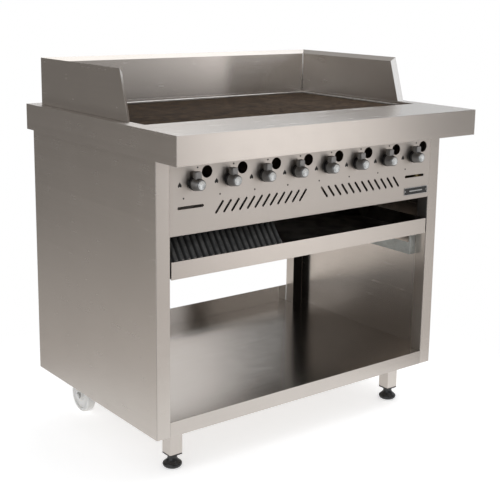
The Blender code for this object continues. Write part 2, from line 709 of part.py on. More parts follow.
def build_tray_runner(side, sign):
    """Galvanised bracket: flange under the tray, web with a window, and a plate at each end."""
    web = RUNNER_WEB
    edge = TUBE_INSIDE - FIT_GAP
    sheet = RUNNER_SHEET
    front = RUNNER_FRONT
    top = TRAY_LIP_BOTTOM - FIT_GAP
    blocks = [((web, front, RUNNER_BOTTOM), (web + sheet, RUNNER_REAR, top)),
              ((web, front, top - sheet), (edge, RUNNER_REAR, top)),
              ((web, front, RUNNER_BOTTOM), (edge, front + sheet, top)),
              ((web, RUNNER_REAR - sheet, RUNNER_BOTTOM), (edge, RUNNER_REAR, top))]
    mirrored = []
    for low, high in blocks:
        x_low, x_high = sorted((sign * low[0], sign * high[0]))
        mirrored.append(((x_low, low[1], low[2]), (x_high, high[1], high[2])))
    runner = box(f"tray_runner_{side}", *mirrored[0])
    runner = join(runner, *[box("blade", low, high) for low, high in mirrored[1:]])
    reach = sorted((sign * (web - sheet), sign * (web + 2 * sheet)))
    window = box("window", (reach[0], WINDOW_FRONT, WINDOW_BOTTOM),
                 (reach[1], WINDOW_REAR, top - WINDOW_MARGIN))
    return finish(cut(runner, window), "galvanised_steel")


# ---------------------------------------------------------------- feet and castors
PLUG_BOTTOM = 0.0342
PLUG_TOP = 0.0600
SCREW_RADIUS = 0.0060
SCREW_TOP = 0.0720
PAD_TOP = PLUG_BOTTOM - 0.0004


def build_foot_plug(side, sign):
    """Plastic end plug of a leg, bored for the foot's screw."""
    x = sign * LEG_X
    cap = TUBE / 2
    insert = TUBE / 2 - TUBE_WALL - FIT_GAP
    top = LEG_BOTTOM - FIT_GAP
    plug = box(f"foot_plug_{side}", (x - cap, LEG_Y - cap, PLUG_BOTTOM), (x + cap, LEG_Y + cap, top))
    body = box("insert", (x - insert, LEG_Y - insert, (PLUG_BOTTOM + top) / 2),
               (x + insert, LEG_Y + insert, PLUG_TOP))
    bore = rod("bore", SCREW_RADIUS + 0.0005, (x, LEG_Y, PLUG_BOTTOM - OPEN_END),
               (x, LEG_Y, PLUG_TOP + OPEN_END), 16)
    return finish(cut(join(plug, body), bore), "black_plastic")


def build_foot_glide(side, sign):
    """Levelling foot: bell-shaped pad on a screw."""
    pad = [(0, 0), (0.0210, 0), (0.0245, 0.0030), (0.0260, 0.0075), (0.0248, 0.0120), (0.0200, 0.0165),
           (0.0150, 0.0200), (0.0128, 0.0250), (0.0123, PAD_TOP)]
    screw = [(SCREW_RADIUS, PAD_TOP), (SCREW_RADIUS, SCREW_TOP), (0, SCREW_TOP)]
    x = sign * LEG_X
    glide = turned(f"foot_glide_{side}", pad + screw, 20, (x, LEG_Y, 0))
    return finish(glide, "black_plastic", origin=(x, LEG_Y, 0), smooth=True)


CHEEK_X = CASTOR_X - WHEEL_WIDTH / 2 - 0.0035
CHEEK_SHEET = 0.003
CHEEK_RADIUS = 0.017
BRACKET_HALF_DEPTH = 0.025
BRACKET_INBOARD = 0.030
BRACKET_OUTBOARD = 0.034
AXLE_RADIUS = 0.005
AXLE_BORE = AXLE_RADIUS + FIT_GAP
BOLT_HEAD_RADIUS = 0.0090
BOLT_HEAD_DEPTH = 0.006
SHOULDER_RADIUS = 0.0068


def build_castor_bracket(side, sign):
    """Angle bracket on the wheel's inboard side."""
    plate_top = BODY_BOTTOM - FIT_GAP
    plate_bottom = plate_top - CHEEK_SHEET
    top_low, top_high = sorted((sign * (CHEEK_X - BRACKET_INBOARD), sign * (CHEEK_X + BRACKET_OUTBOARD)))
    cheek_low, cheek_high = sorted((sign * (CHEEK_X - CHEEK_SHEET), sign * CHEEK_X))
    bracket = box(f"castor_bracket_{side}", (top_low, CASTOR_Y - BRACKET_HALF_DEPTH, plate_bottom),
                  (top_high, CASTOR_Y + BRACKET_HALF_DEPTH, plate_top))
    upright = box("upright", (cheek_low, CASTOR_Y - CHEEK_RADIUS, WHEEL_RADIUS),
                  (cheek_high, CASTOR_Y + CHEEK_RADIUS, plate_bottom + CHEEK_SHEET / 2))
    foot = rod("foot", CHEEK_RADIUS, (cheek_low, CASTOR_Y, WHEEL_RADIUS),
               (cheek_high, CASTOR_Y, WHEEL_RADIUS), 16)
    bore = rod("bore", AXLE_BORE, (cheek_low - OPEN_END, CASTOR_Y, WHEEL_RADIUS),
               (cheek_high + OPEN_END, CASTOR_Y, WHEEL_RADIUS), 12)
    return finish(cut(join(bracket, upright, foot), bore), "galvanised_steel")


def build_castor_axle(side, sign):
    """Bolt through wheel and bracket, with its hexagon head outside and its nut inside."""
    head_face = CASTOR_X + WHEEL_WIDTH / 2 + 0.001
    nut_face = CHEEK_X - CHEEK_SHEET - 0.0005
    wheel_face = CASTOR_X - WHEEL_WIDTH / 2

    def bar(name, radius, start_x, end_x, segments):
        """A piece of the bolt between two distances from the grill's middle."""
        return rod(name, radius, (sign * start_x, CASTOR_Y, WHEEL_RADIUS),
                   (sign * end_x, CASTOR_Y, WHEEL_RADIUS), segments)

    axle = bar(f"castor_axle_{side}", AXLE_RADIUS, nut_face - 0.0105, head_face + BOLT_HEAD_DEPTH / 2, 12)
    axle = join(axle, bar("head", BOLT_HEAD_RADIUS, head_face, head_face + BOLT_HEAD_DEPTH, 6),
                bar("nut", BOLT_HEAD_RADIUS, nut_face - 0.0065, nut_face, 6),
                bar("shoulder", SHOULDER_RADIUS, CHEEK_X + 0.0005, wheel_face - 0.0005, 12))
    return finish(axle, "bright_steel")


def build_castor_wheel(side, sign):
    """Nylon wheel with a crowned tread, dished sides and a plain bore."""
    half = WHEEL_WIDTH / 2
    dish = half - 0.0050
    rim = half - 0.0015
    right = [(AXLE_BORE, half), (0.0140, half), (0.0155, dish), (0.0370, dish), (0.0390, rim), (0.0470, rim)]
    crown = [(WHEEL_RADIUS, 0.0)]
    left = [(radius, -offset) for radius, offset in reversed(right)]
    centre = (sign * CASTOR_X, CASTOR_Y, WHEEL_RADIUS)
    wheel = turned(f"castor_wheel_{side}", right + crown + left, 24, centre, "X")
    return finish(wheel, "nylon", origin=centre, smooth=True)


# ---------------------------------------------------------------- the whole grill
def build():
    """Clear the scene and make every piece."""
    for old in list(bpy.data.objects):
        bpy.data.objects.remove(old, do_unlink=True)
    build_frame()
    build_back_panel()
    build_worktop()
    build_splash_guard()
    build_shelf()
    build_control_panel()
    build_badge()
    build_manifold()
    build_firebox()
    build_tray()
    for side, sign in SIDES:
        build_side_panel(side, sign)
        build_tray_runner(side, sign)
        build_foot_plug(side, sign)
        build_foot_glide(side, sign)
        build_castor_bracket(side, sign)
        build_castor_axle(side, sign)
        build_castor_wheel(side, sign)
    for index in range(BURNERS):
        build_burner(index)
        build_radiant(index)
        build_valve_stem(index)
        build_knob(index)
    for index in range(GRATES):
        build_grate(index)


build()
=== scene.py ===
"""Looks of the eight-burner gas charbroiler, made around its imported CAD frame. Units are metres."""
import json
import math

import bmesh
import bpy
from mathutils import Matrix, Vector

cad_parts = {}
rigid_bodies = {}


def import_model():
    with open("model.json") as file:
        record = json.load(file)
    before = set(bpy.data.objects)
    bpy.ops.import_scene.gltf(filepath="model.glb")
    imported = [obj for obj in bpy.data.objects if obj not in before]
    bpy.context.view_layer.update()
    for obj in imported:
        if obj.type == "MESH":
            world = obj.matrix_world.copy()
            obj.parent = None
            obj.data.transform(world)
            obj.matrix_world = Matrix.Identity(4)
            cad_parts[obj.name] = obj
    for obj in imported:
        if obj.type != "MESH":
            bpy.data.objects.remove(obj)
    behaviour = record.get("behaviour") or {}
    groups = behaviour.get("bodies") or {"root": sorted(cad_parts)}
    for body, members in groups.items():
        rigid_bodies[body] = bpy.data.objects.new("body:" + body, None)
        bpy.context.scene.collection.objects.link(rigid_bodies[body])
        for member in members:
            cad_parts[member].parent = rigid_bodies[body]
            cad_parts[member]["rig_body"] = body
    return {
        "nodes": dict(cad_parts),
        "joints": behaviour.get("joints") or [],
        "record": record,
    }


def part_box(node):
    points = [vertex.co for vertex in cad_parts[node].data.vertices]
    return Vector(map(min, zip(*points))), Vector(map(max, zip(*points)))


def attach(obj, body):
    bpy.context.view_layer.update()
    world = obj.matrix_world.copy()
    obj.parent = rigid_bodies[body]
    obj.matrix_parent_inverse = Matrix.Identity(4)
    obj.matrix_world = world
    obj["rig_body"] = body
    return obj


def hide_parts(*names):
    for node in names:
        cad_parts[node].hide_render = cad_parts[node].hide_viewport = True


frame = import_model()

NODES = frame["nodes"]
JOINTS = {joint["name"]: joint for joint in frame["joints"]}
OPENINGS = {opening["name"]: opening["box_m"] for opening in frame["record"]["physics"]["openings"]}
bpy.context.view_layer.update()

BURNERS = 8
GRATES = 4
SIDES = (("left", -1), ("right", 1))
BODY_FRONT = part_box("control_panel")[0].y
SHEET = 0.0012

# ---------------------------------------------------------------- node tools


def put(tree, kind, inputs=None, **settings):
    """Add a node, set its properties, and give its inputs a value or a link."""
    node = tree.nodes.new(kind)
    for key, value in settings.items():
        setattr(node, key, value)
    for key, value in (inputs or {}).items():
        if isinstance(value, bpy.types.NodeSocket):
            tree.links.new(value, node.inputs[key])
        else:
            node.inputs[key].default_value = value
    return node


def split(tree, vector):
    """The X, Y and Z of a vector."""
    return put(tree, "ShaderNodeSeparateXYZ", {0: vector}).outputs


def calc(tree, operation, *values):
    """Result of a math node."""
    return put(tree, "ShaderNodeMath", dict(enumerate(values)), operation=operation).outputs[0]


def ramp(tree, value, start, end, low, high):
    """Smooth step of value from low at start to high at end."""
    inputs = {"Value": value, "From Min": start, "From Max": end, "To Min": low, "To Max": high}
    return put(tree, "ShaderNodeMapRange", inputs, interpolation_type="SMOOTHSTEP").outputs["Result"]


def mix_colour(tree, factor, first, second):
    """Colour between two colours."""
    inputs = {0: factor, 6: solid(first), 7: solid(second)}
    return put(tree, "ShaderNodeMix", inputs, data_type="RGBA").outputs[2]


def mix_vector(tree, factor, first, second):
    """Vector between two vectors."""
    return put(tree, "ShaderNodeMix", {0: factor, 4: first, 5: second}, data_type="VECTOR").outputs[1]


def solid(colour):
    """A colour with its alpha, or a link left as it is."""
    return colour if isinstance(colour, bpy.types.NodeSocket) else (*colour, 1.0)


def shade(colour, share):
    """A colour made lighter or darker."""
    return tuple(channel * share for channel in colour)


def noise(tree, place, scale, detail=3.0, distortion=0.0):
    """Noise between 0 and 1."""
    inputs = {"Vector": place, "Scale": scale, "Detail": detail, "Distortion": distortion}
    return put(tree, "ShaderNodeTexNoise", inputs).outputs["Fac"]


def stretch(tree, place, scale):
    """Coordinates scaled along each axis."""
    return put(tree, "ShaderNodeVectorMath", {0: place, 1: scale}, operation="MULTIPLY").outputs[0]


def bump(tree, height, distance, strength=1.0, normal=None):
    """Normal bent by a height map of that depth."""
    inputs = {"Height": height, "Distance": distance, "Strength": strength}
    if normal:
        inputs["Normal"] = normal
    return put(tree, "ShaderNodeBump", inputs).outputs["Normal"]


def start_material(name, metallic, anisotropic=0.0):
    """A Principled material with its node tree, shader and texture coordinates."""
    made = bpy.data.materials.new(name)
    made.use_nodes = True
    tree = made.node_tree
    shader = tree.nodes["Principled BSDF"]
    shader.inputs["Metallic"].default_value = metallic
    shader.inputs["Anisotropic"].default_value = anisotropic
    where = put(tree, "ShaderNodeTexCoord").outputs
    return made, tree, shader, where


def wire(tree, shader, **sources):
    """Connect results to the shader's inputs by name, with _ for a space."""
    for key, source in sources.items():
        tree.links.new(source, shader.inputs[key.replace("_", " ")])


# ---------------------------------------------------------------- materials
GRAIN_ALONG = 2.5
GRAIN_ACROSS = 900.0


def brushed(name, colour, roughness, upright_grain=False, anisotropic=0.75, wave=0.0007, soot_and_shade=None):
    """Brushed sheet steel: fine grain, broader bands, faint wiping marks and a slightly uneven sheet."""
    made, tree, shader, where = start_material(name, 1.0, anisotropic)
    up = split(tree, where["Normal"])["Z"]
    flat = calc(tree, "GREATER_THAN", calc(tree, "ABSOLUTE", up), 0.7)
    level = (GRAIN_ALONG, GRAIN_ALONG, GRAIN_ACROSS)
    upright = (GRAIN_ACROSS, GRAIN_ACROSS, GRAIN_ALONG)
    on_walls = stretch(tree, where["Object"], upright if upright_grain else level)
    on_tops = stretch(tree, where["Object"], (GRAIN_ALONG, GRAIN_ACROSS, GRAIN_ALONG))
    grain_place = mix_vector(tree, flat, on_walls, on_tops)
    fine = noise(tree, grain_place, 1.0, 4.0)
    bands = noise(tree, grain_place, 0.11, 2.0)
    smears = noise(tree, where["Object"], 5.0, 2.0, 0.6)
    marks = noise(tree, where["Object"], 23.0, 1.0, 0.4)
    grain = calc(tree, "MULTIPLY_ADD", bands, 0.55, calc(tree, "MULTIPLY", fine, 0.45))
    tone = mix_colour(tree, grain, shade(colour, 0.96), shade(colour, 1.04))
    tone = mix_colour(tree, ramp(tree, smears, 0.35, 0.75, 0.0, 0.3), tone, shade(colour, 0.92))
    rough = ramp(tree, grain, 0.25, 0.75, roughness - 0.02, roughness + 0.02)
    rough = calc(tree, "ADD", rough, ramp(tree, marks, 0.40, 0.80, 0.0, 0.015))
    # the function given here adds real soot and baked fat on the tray and firebox, and painted dark
    # reflection on the tube
    if soot_and_shade:
        tone, rough = soot_and_shade(tree, where, tone, rough)
    sheet = bump(tree, noise(tree, where["Object"], 2.6, 1.0), wave)
    bent = bump(tree, fine, 0.00002, 0.06, sheet)
    tangent_walls = (1.0, 1.0, 0.0) if upright_grain else (0.0, 0.0, 1.0)
    tangent = mix_vector(tree, flat, tangent_walls, (0.0, 1.0, 0.0))
    wire(tree, shader, Base_Color=tone, Roughness=rough, Normal=bent, Tangent=tangent)
    return made


def tray_soot(tree, where, tone, rough):
    """Baked-on fat inside the tray, clean on its front lip."""
    place = split(tree, where["Object"])
    inside = calc(tree, "MULTIPLY", calc(tree, "GREATER_THAN", place["Y"], BODY_FRONT + SHEET * 0.7),
                  calc(tree, "GREATER_THAN", place["Z"], TRAY_FLOOR))
    patches = noise(tree, where["Object"], 14.0, 6.0, 0.8)
    crust = ramp(tree, patches, 0.35, 0.7, 0.0, 1.0)
    burnt = mix_colour(tree, crust, (0.45, 0.41, 0.38), (0.20, 0.175, 0.16))
    rough = calc(tree, "MAXIMUM", rough, calc(tree, "MULTIPLY", inside, 0.42))
    return mix_colour(tree, inside, tone, burnt), rough


def firebox_soot(tree, where, tone, rough):
    """Heat colours and soot on everything below the grates' ledge."""
    height = split(tree, where["Object"])["Z"]
    patches = noise(tree, where["Object"], 11.0, 6.0, 0.7)
    deep = calc(tree, "ADD", height, calc(tree, "MULTIPLY", patches, 0.01))
    below = ramp(tree, deep, LEDGE_TOP - 0.004, LEDGE_TOP + 0.005, 1.0, 0.0)
    burnt = mix_colour(tree, patches, (0.035, 0.028, 0.024), (0.20, 0.15, 0.11))
    return mix_colour(tree, below, tone, burnt), calc(tree, "ADD", rough, calc(tree, "MULTIPLY", below, 0.25))


def galvanised(name):
    """Zinc-coated sheet with its spangle."""
    made, tree, shader, where = start_material(name, 0.85)
    cells = put(tree, "ShaderNodeTexVoronoi", {"Vector": where["Object"], "Scale": 85.0, "Randomness": 1.0})
    value = split(tree, cells.outputs["Color"])["X"]
    dirt = noise(tree, where["Object"], 30.0, 5.0, 0.5)
    tone = mix_colour(tree, value, (0.50, 0.53, 0.52), (0.66, 0.68, 0.66))
    tone = mix_colour(tree, ramp(tree, dirt, 0.45, 0.8, 0.0, 0.5), tone, (0.38, 0.38, 0.35))
    rough = ramp(tree, value, 0.0, 1.0, 0.36, 0.56)
    bent = bump(tree, noise(tree, where["Object"], 600.0, 3.0), 0.00004)
    wire(tree, shader, Base_Color=tone, Roughness=rough, Normal=bent)
    return made


def cast_iron(name, dark, light, gloss, grit=0.00016, pitch=0.0, painted_shade_sides=False):
    """Rough cast iron with stains. Painted shade darkens the grooves of ribs at that pitch, and the sides
    below lit tops.
    """
    made, tree, shader, where = start_material(name, 0.10)
    shader.inputs["Specular IOR Level"].default_value = 0.18
    patches = noise(tree, where["Object"], 38.0, 6.0, 0.6)
    sand = noise(tree, where["Object"], 900.0, 3.0)
    lumps = noise(tree, where["Object"], 160.0, 4.0)
    tone = mix_colour(tree, ramp(tree, patches, 0.3, 0.7, 0.0, 1.0), dark, light)
    tone = mix_colour(tree, ramp(tree, sand, 0.5, 0.9, 0.0, 0.5), tone, shade(light, 1.5))
    if painted_shade_sides:
        # painted shade: faces that turn away from up get darker, so the tops read as lit and the sides as
        # shaded
        up = split(tree, where["Normal"])["Z"]
        tone = mix_colour(tree, ramp(tree, up, 0.40, 0.95, 0.0, 1.0), shade(dark, 0.20), tone)
    if pitch:
        # painted shade in the grooves between the ribs, darkest where the cosine is lowest
        across = split(tree, where["Object"])["X"]
        turn = calc(tree, "MULTIPLY", calc(tree, "SUBTRACT", across, BAFFLE_LEFT), math.tau / pitch)
        groove_shade = ramp(tree, calc(tree, "COSINE", turn), -0.7, 0.5, 0.9, 0.0)
        tone = mix_colour(tree, groove_shade, tone, shade(dark, 0.25))
    rough = ramp(tree, patches, 0.3, 0.75, gloss, gloss + 0.3)
    coarse = bump(tree, lumps, grit * 2.5)
    bent = bump(tree, sand, grit, 1.0, coarse)
    wire(tree, shader, Base_Color=tone, Roughness=rough, Normal=bent)
    return made


def turned_metal(name, colour, roughness, rings=2600.0):
    """Metal turned on a lathe: its UV map holds the distance from the axis and along it."""
    made, tree, shader, where = start_material(name, 1.0)
    spread = split(tree, where["UV"])
    around = calc(tree, "ADD", spread["X"], spread["Y"])
    line = put(tree, "ShaderNodeCombineXYZ", {"X": around}).outputs[0]
    cuts = noise(tree, line, rings, 3.0)
    worn = noise(tree, where["Object"], 120.0, 5.0, 0.4)
    tone = mix_colour(tree, cuts, shade(colour, 0.82), shade(colour, 1.12))
    tone = mix_colour(tree, ramp(tree, worn, 0.5, 0.8, 0.0, 0.5), tone, shade(colour, 0.7))
    rough = calc(tree, "ADD", ramp(tree, cuts, 0.3, 0.7, roughness - 0.05, roughness + 0.05),
                 ramp(tree, worn, 0.4, 0.8, 0.0, 0.08))
    bent = bump(tree, cuts, 0.00002)
    wire(tree, shader, Base_Color=tone, Roughness=rough, Normal=bent)
    return made


def stained_metal(name, colour, stain, roughness, scale=60.0):
    """Plain metal with patchy stains and fine scratches."""
    made, tree, shader, where = start_material(name, 1.0)
    patches = noise(tree, where["Object"], scale, 6.0, 0.8)
    scratches = noise(tree, stretch(tree, where["Object"], (700.0, 60.0, 700.0)), 1.0, 3.0)
    tone = mix_colour(tree, ramp(tree, patches, 0.35, 0.75, 0.0, 1.0), colour, stain)
    rough = calc(tree, "ADD", ramp(tree, patches, 0.3, 0.8, roughness, roughness + 0.2),
                 calc(tree, "MULTIPLY", scratches, 0.08))
    bent = bump(tree, scratches, 0.00002)
    wire(tree, shader, Base_Color=tone, Roughness=rough, Normal=bent)
    return made


def moulded(name, colour, roughness, grit=0.00003, glow=0.0):
    """Moulded plastic with a faint texture, dust in it and slightly uneven gloss."""
    made, tree, shader, where = start_material(name, 0.0)
    shader.inputs["Subsurface Weight"].default_value = glow
    shader.inputs["Subsurface Radius"].default_value = (0.004, 0.0036, 0.003)
    texture = noise(tree, where["Object"], 1500.0, 2.0)
    handled = noise(tree, where["Object"], 70.0, 5.0, 0.5)
    dust = shade(colour, 0.85) if colour[0] > 0.2 else tuple(channel + 0.03 for channel in colour)
    tone = mix_colour(tree, ramp(tree, handled, 0.45, 0.85, 0.0, 0.6), colour, dust)
    rough = ramp(tree, handled, 0.3, 0.8, roughness - 0.05, roughness + 0.12)
    bent = bump(tree, texture, grit)
    wire(tree, shader, Base_Color=tone, Roughness=rough, Normal=bent)
    return made


def upright_painted_reflection(tree, where, tone, rough):
    """Painted dark reflection and shade, near black, on the front face of the rear right upright."""
    place = split(tree, where["Object"])
    facing = split(tree, where["Normal"])["Y"]
    on_right = calc(tree, "GREATER_THAN", place["X"], 0.3)
    at_rear = calc(tree, "GREATER_THAN", place["Y"], 0.1)
    in_front = calc(tree, "LESS_THAN", facing, -0.9)
    there = calc(tree, "MULTIPLY", calc(tree, "MULTIPLY", on_right, at_rear), in_front)
    # painted dark reflection: the front face of the rear right upright made near black
    return mix_colour(tree, there, tone, (0.012, 0.011, 0.010)), rough


LEDGE_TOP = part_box("firebox")[1].z
BAFFLE_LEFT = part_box("drip_tray")[0].x + 0.0015
BAFFLE_PITCH = 0.0182
TRAY_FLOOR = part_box("drip_tray")[0].z + 2 * SHEET
BROWN_IRON = ((0.045, 0.028, 0.018), (0.155, 0.110, 0.075))
BLACK_IRON = ((0.020, 0.017, 0.015), (0.060, 0.050, 0.043))
GREY_IRON = ((0.050, 0.050, 0.049), (0.120, 0.118, 0.115))
STEEL = (0.585, 0.542, 0.502)

FINISH = {
    "sheet": brushed("brushed_sheet", STEEL, 0.25, anisotropic=0.85),
    "top": brushed("brushed_worktop", STEEL, 0.25, anisotropic=0.88),
    "panel": brushed("brushed_panel", shade(STEEL, 1.04), 0.40),
    "tube": brushed("brushed_tube", shade(STEEL, 0.97), 0.30, upright_grain=True, wave=0.0, soot_and_shade=upright_painted_reflection),
    "shelf": brushed("polished_shelf", shade(STEEL, 0.92), 0.17, anisotropic=0.5, wave=0.0009),
    "tray": brushed("tray_steel", STEEL, 0.24, soot_and_shade=tray_soot),
    # firebox steel lighter than the body's steel: a painted highlight on the clean ledge rim above the soot
    "firebox": brushed("firebox_steel_highlight", shade(STEEL, 1.45), 0.40, wave=0.0, soot_and_shade=firebox_soot),
    "burner": stained_metal("burner_steel", (0.30, 0.27, 0.25), (0.13, 0.10, 0.085), 0.45, 25.0),
    "brass": stained_metal("gas_brass", (0.55, 0.42, 0.20), (0.30, 0.21, 0.10), 0.30),
    "zinc": stained_metal("bright_bolt", (0.70, 0.70, 0.70), (0.45, 0.45, 0.43), 0.25, 140.0),
    # pale weld colour, lighter than the sheet steel: on the guard's foot seam it adds a painted highlight
    "weld": stained_metal("polished_weld", (0.82, 0.80, 0.78), (0.62, 0.58, 0.54), 0.22, 90.0),
    "galvanised": galvanised("galvanised_sheet"),
    # the grate's bar sides carry painted shade
    "grate": cast_iron("grate_iron", *BROWN_IRON, 0.6, painted_shade_sides=True),
    "radiant": cast_iron("radiant_iron", *BLACK_IRON, 0.6),
    # the baffle's grooves carry painted shade
    "baffle": cast_iron("baffle_iron", *GREY_IRON, 0.35, grit=0.00005, pitch=BAFFLE_PITCH),
    # lighter than the baffle: a painted highlight on the rib ends
    "tip": stained_metal("baffle_tip", (0.28, 0.26, 0.25), (0.14, 0.12, 0.11), 0.40, 90.0),
    "knob": turned_metal("knob_barrel", (0.33, 0.325, 0.32), 0.42, 900.0),
    "cap": turned_metal("knob_cap", (0.70, 0.72, 0.72), 0.28),
    "skirt": moulded("knob_skirt", (0.010, 0.009, 0.009), 0.35),
    "gloss": moulded("foot_gloss", (0.010, 0.010, 0.011), 0.16),
    "plug": moulded("plug_matt", (0.014, 0.014, 0.015), 0.45),
    "badge": moulded("badge_face", (0.010, 0.010, 0.011), 0.28),
    "paint": moulded("badge_paint", (0.62, 0.62, 0.61), 0.40),
    "ink": moulded("panel_ink", (0.014, 0.012, 0.011), 0.50),
    "wheel": moulded("wheel_nylon", (0.70, 0.69, 0.67), 0.38, 0.00006, 0.25),
}

# ---------------------------------------------------------------- mesh tools
CREASE = math.radians(35)


def make(name, bm, finish, body, replaces=()):
    """Turn a bmesh into a finished piece that rides on a body."""
    mesh = bpy.data.meshes.new(name)
    bm.to_mesh(mesh)
    bm.free()
    piece = bpy.data.objects.new(name, mesh)
    bpy.context.scene.collection.objects.link(piece)
    mesh.materials.append(FINISH[finish])
    mesh.shade_smooth()
    mesh.set_sharp_from_angle(angle=CREASE)
    return settle(piece, body, replaces)


def settle(piece, body, replaces=()):
    """Say what the piece rides on and hide the nodes it stands for."""
    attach(piece, body)
    if replaces:
        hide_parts(*replaces)
    return piece


def soften(piece, width):
    """Round the piece's sharp edges."""
    edge = piece.modifiers.new("edges", "BEVEL")
    edge.width = width
    edge.segments = 2
    edge.limit_method = "ANGLE"
    edge.angle_limit = CREASE
    flat = piece.modifiers.new("flat_faces", "WEIGHTED_NORMAL")
    flat.mode = "FACE_AREA"
    flat.weight = 100


def body_of(node):
    """Name of the body that a CAD node rides on."""
    return NODES[node]["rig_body"]


def refined(node, finish, edge):
    """A cleaned copy of a CAD node with rounded edges, in place of the node."""
    bm = bmesh.new()
    bm.from_mesh(NODES[node].data)
    bmesh.ops.remove_doubles(bm, verts=bm.verts, dist=1e-6)
    bmesh.ops.dissolve_limit(bm, angle_limit=math.radians(0.3), verts=bm.verts, edges=bm.edges)
    soften(make(node + "_surface", bm, finish, body_of(node), [node]), edge)


def lathe(bm, profile, centre, axis, segments=64):
    """Turn a (distance along the axis, radius) outline about an axis; its UV map keeps both numbers."""
    uv = bm.loops.layers.uv.verify()
    axis = Vector(axis)
    side = axis.orthogonal().normalized()
    other = axis.cross(side)
    rings = []
    for along, radius in profile:
        if radius == 0:
            rings.append([bm.verts.new(Vector(centre) + axis * along)])
            continue
        ring = []
        for step in range(segments):
            turn = math.tau * step / segments
            ring.append(bm.verts.new(Vector(centre) + axis * along
                                     + (side * math.cos(turn) + other * math.sin(turn)) * radius))
        rings.append(ring)
    faces = []
    for index in range(len(rings) - 1):
        for step in range(segments):
            following = (step + 1) % segments
            corners = []
            for number, steps in ((index, (step, following)), (index + 1, (following, step))):
                ring = rings[number]
                mark = profile[number]
                if len(ring) == 1:
                    corners.append((ring[0], mark))
                else:
                    corners += [(ring[place], mark) for place in steps]
            if len(corners) < 3:
                continue
            face = bm.faces.new([corner for corner, _ in corners])
            for loop, (_, mark) in zip(face.loops, corners):
                loop[uv].uv = mark
            faces.append(face)
    bmesh.ops.recalc_face_normals(bm, faces=faces)


def closed_turning(profile, centre, axis, segments):
    """A bmesh turned from a closed outline, welded where the outline meets itself."""
    bm = bmesh.new()
    lathe(bm, profile, centre, axis, segments)
    bmesh.ops.remove_doubles(bm, verts=bm.verts, dist=1e-7)
    return bm


def prism(bm, outline, start, end, axis, taper=None):
    """Sweep a closed outline of two coordinates from start to end along an axis, with caps.

    taper is (length, share): both ends shrink to that share over that length.
    """
    order = {"X": (1, 2, 0), "Y": (0, 2, 1), "Z": (0, 1, 2)}[axis]
    middle = [sum(point[k] for point in outline) / len(outline) for k in (0, 1)]
    stops = [(start, 1.0), (end, 1.0)]
    if taper:
        length, share = taper
        stops = [(start, share), (start + length, 1.0), (end - length, 1.0), (end, share)]
    rings = []
    for stop, share in stops:
        ring = []
        for point in outline:
            place = [0.0, 0.0, 0.0]
            place[order[0]] = middle[0] + (point[0] - middle[0]) * share
            place[order[1]] = middle[1] + (point[1] - middle[1]) * share
            place[order[2]] = stop
            ring.append(bm.verts.new(place))
        rings.append(ring)
    faces = [bm.faces.new(rings[0]), bm.faces.new(list(reversed(rings[-1])))]
    for before, after in zip(rings, rings[1:]):
        for index in range(len(outline)):
            following = (index + 1) % len(outline)
            faces.append(bm.faces.new([before[following], before[index], after[index], after[following]]))
    bmesh.ops.recalc_face_normals(bm, faces=faces)
    return faces


def arc(centre, radius, start, end, steps):
    """Points along an arc, angles in degrees."""
    points = []
    for step in range(steps + 1):
        turn = math.radians(start + (end - start) * step / steps)
        points.append((centre[0] + radius * math.cos(turn), centre[1] + radius * math.sin(turn)))
    return points


def rounded(low, high, radius, steps=4):
    """Outline of a rectangle with round corners."""
    left, right = low[0] + radius, high[0] - radius
    bottom, top = low[1] + radius, high[1] - radius
    points = []
    for number, centre in enumerate(((right, top), (left, top), (left, bottom), (right, bottom))):
        points += arc(centre, radius, 90 * number, 90 * number + 90, steps)
    return points


def boolean(piece, tool_bm, operation):
    """Apply a Boolean of the piece with a closed bmesh, and drop the tool."""
    mesh = bpy.data.meshes.new("tool")
    tool_bm.to_mesh(mesh)
    tool_bm.free()
    tool = bpy.data.objects.new("tool", mesh)
    bpy.context.scene.collection.objects.link(tool)
    modifier = piece.modifiers.new("boolean", "BOOLEAN")
    modifier.operation = operation
    modifier.solver = "EXACT"
    modifier.object = tool
    bpy.context.view_layer.update()
    graph = bpy.context.evaluated_depsgraph_get()
    result = bpy.data.meshes.new_from_object(piece.evaluated_get(graph))
    piece.modifiers.clear()
    piece.data = result
    bpy.data.objects.remove(tool, do_unlink=True)
    result.shade_smooth()
    result.set_sharp_from_angle(angle=CREASE)


def move_faces(bm, faces, place):
    """Move newly made faces with a matrix."""
    verts = {vert for face in faces for vert in face.verts}
    bmesh.ops.transform(bm, matrix=place, verts=list(verts))


# ---------------------------------------------------------------- sheets and frame
GUARD_WALL = 0.012
WELD_RADIUS = 0.0016
SEAM_RADIUS = 0.0018
SEAM_RISE = 0.0022
SEAM_SETBACK = 0.05
SCREW_RADIUS = 0.0048
SCREW_INSET = 0.010


def dress_sheets():
    """Body sheets, worktop, guard, shelf, tray and frame from the CAD shapes."""
    refined("worktop", "top", 0.0010)
    refined("splash_guard", "sheet", 0.0005)
    for panel in ("side_panel_left", "side_panel_right", "back_panel"):
        refined(panel, "sheet", 0.0003)
    refined("frame", "tube", 0.0012)
    refined("shelf", "shelf", 0.0003)
    refined("firebox", "firebox", 0.0003)
    refined("drip_tray", "tray", 0.0003)
    for side, _ in SIDES:
        refined(f"tray_runner_{side}", "galvanised", 0.0006)
        refined(f"castor_bracket_{side}", "galvanised", 0.0008)
        refined(f"foot_plug_{side}", "plug", 0.0010)


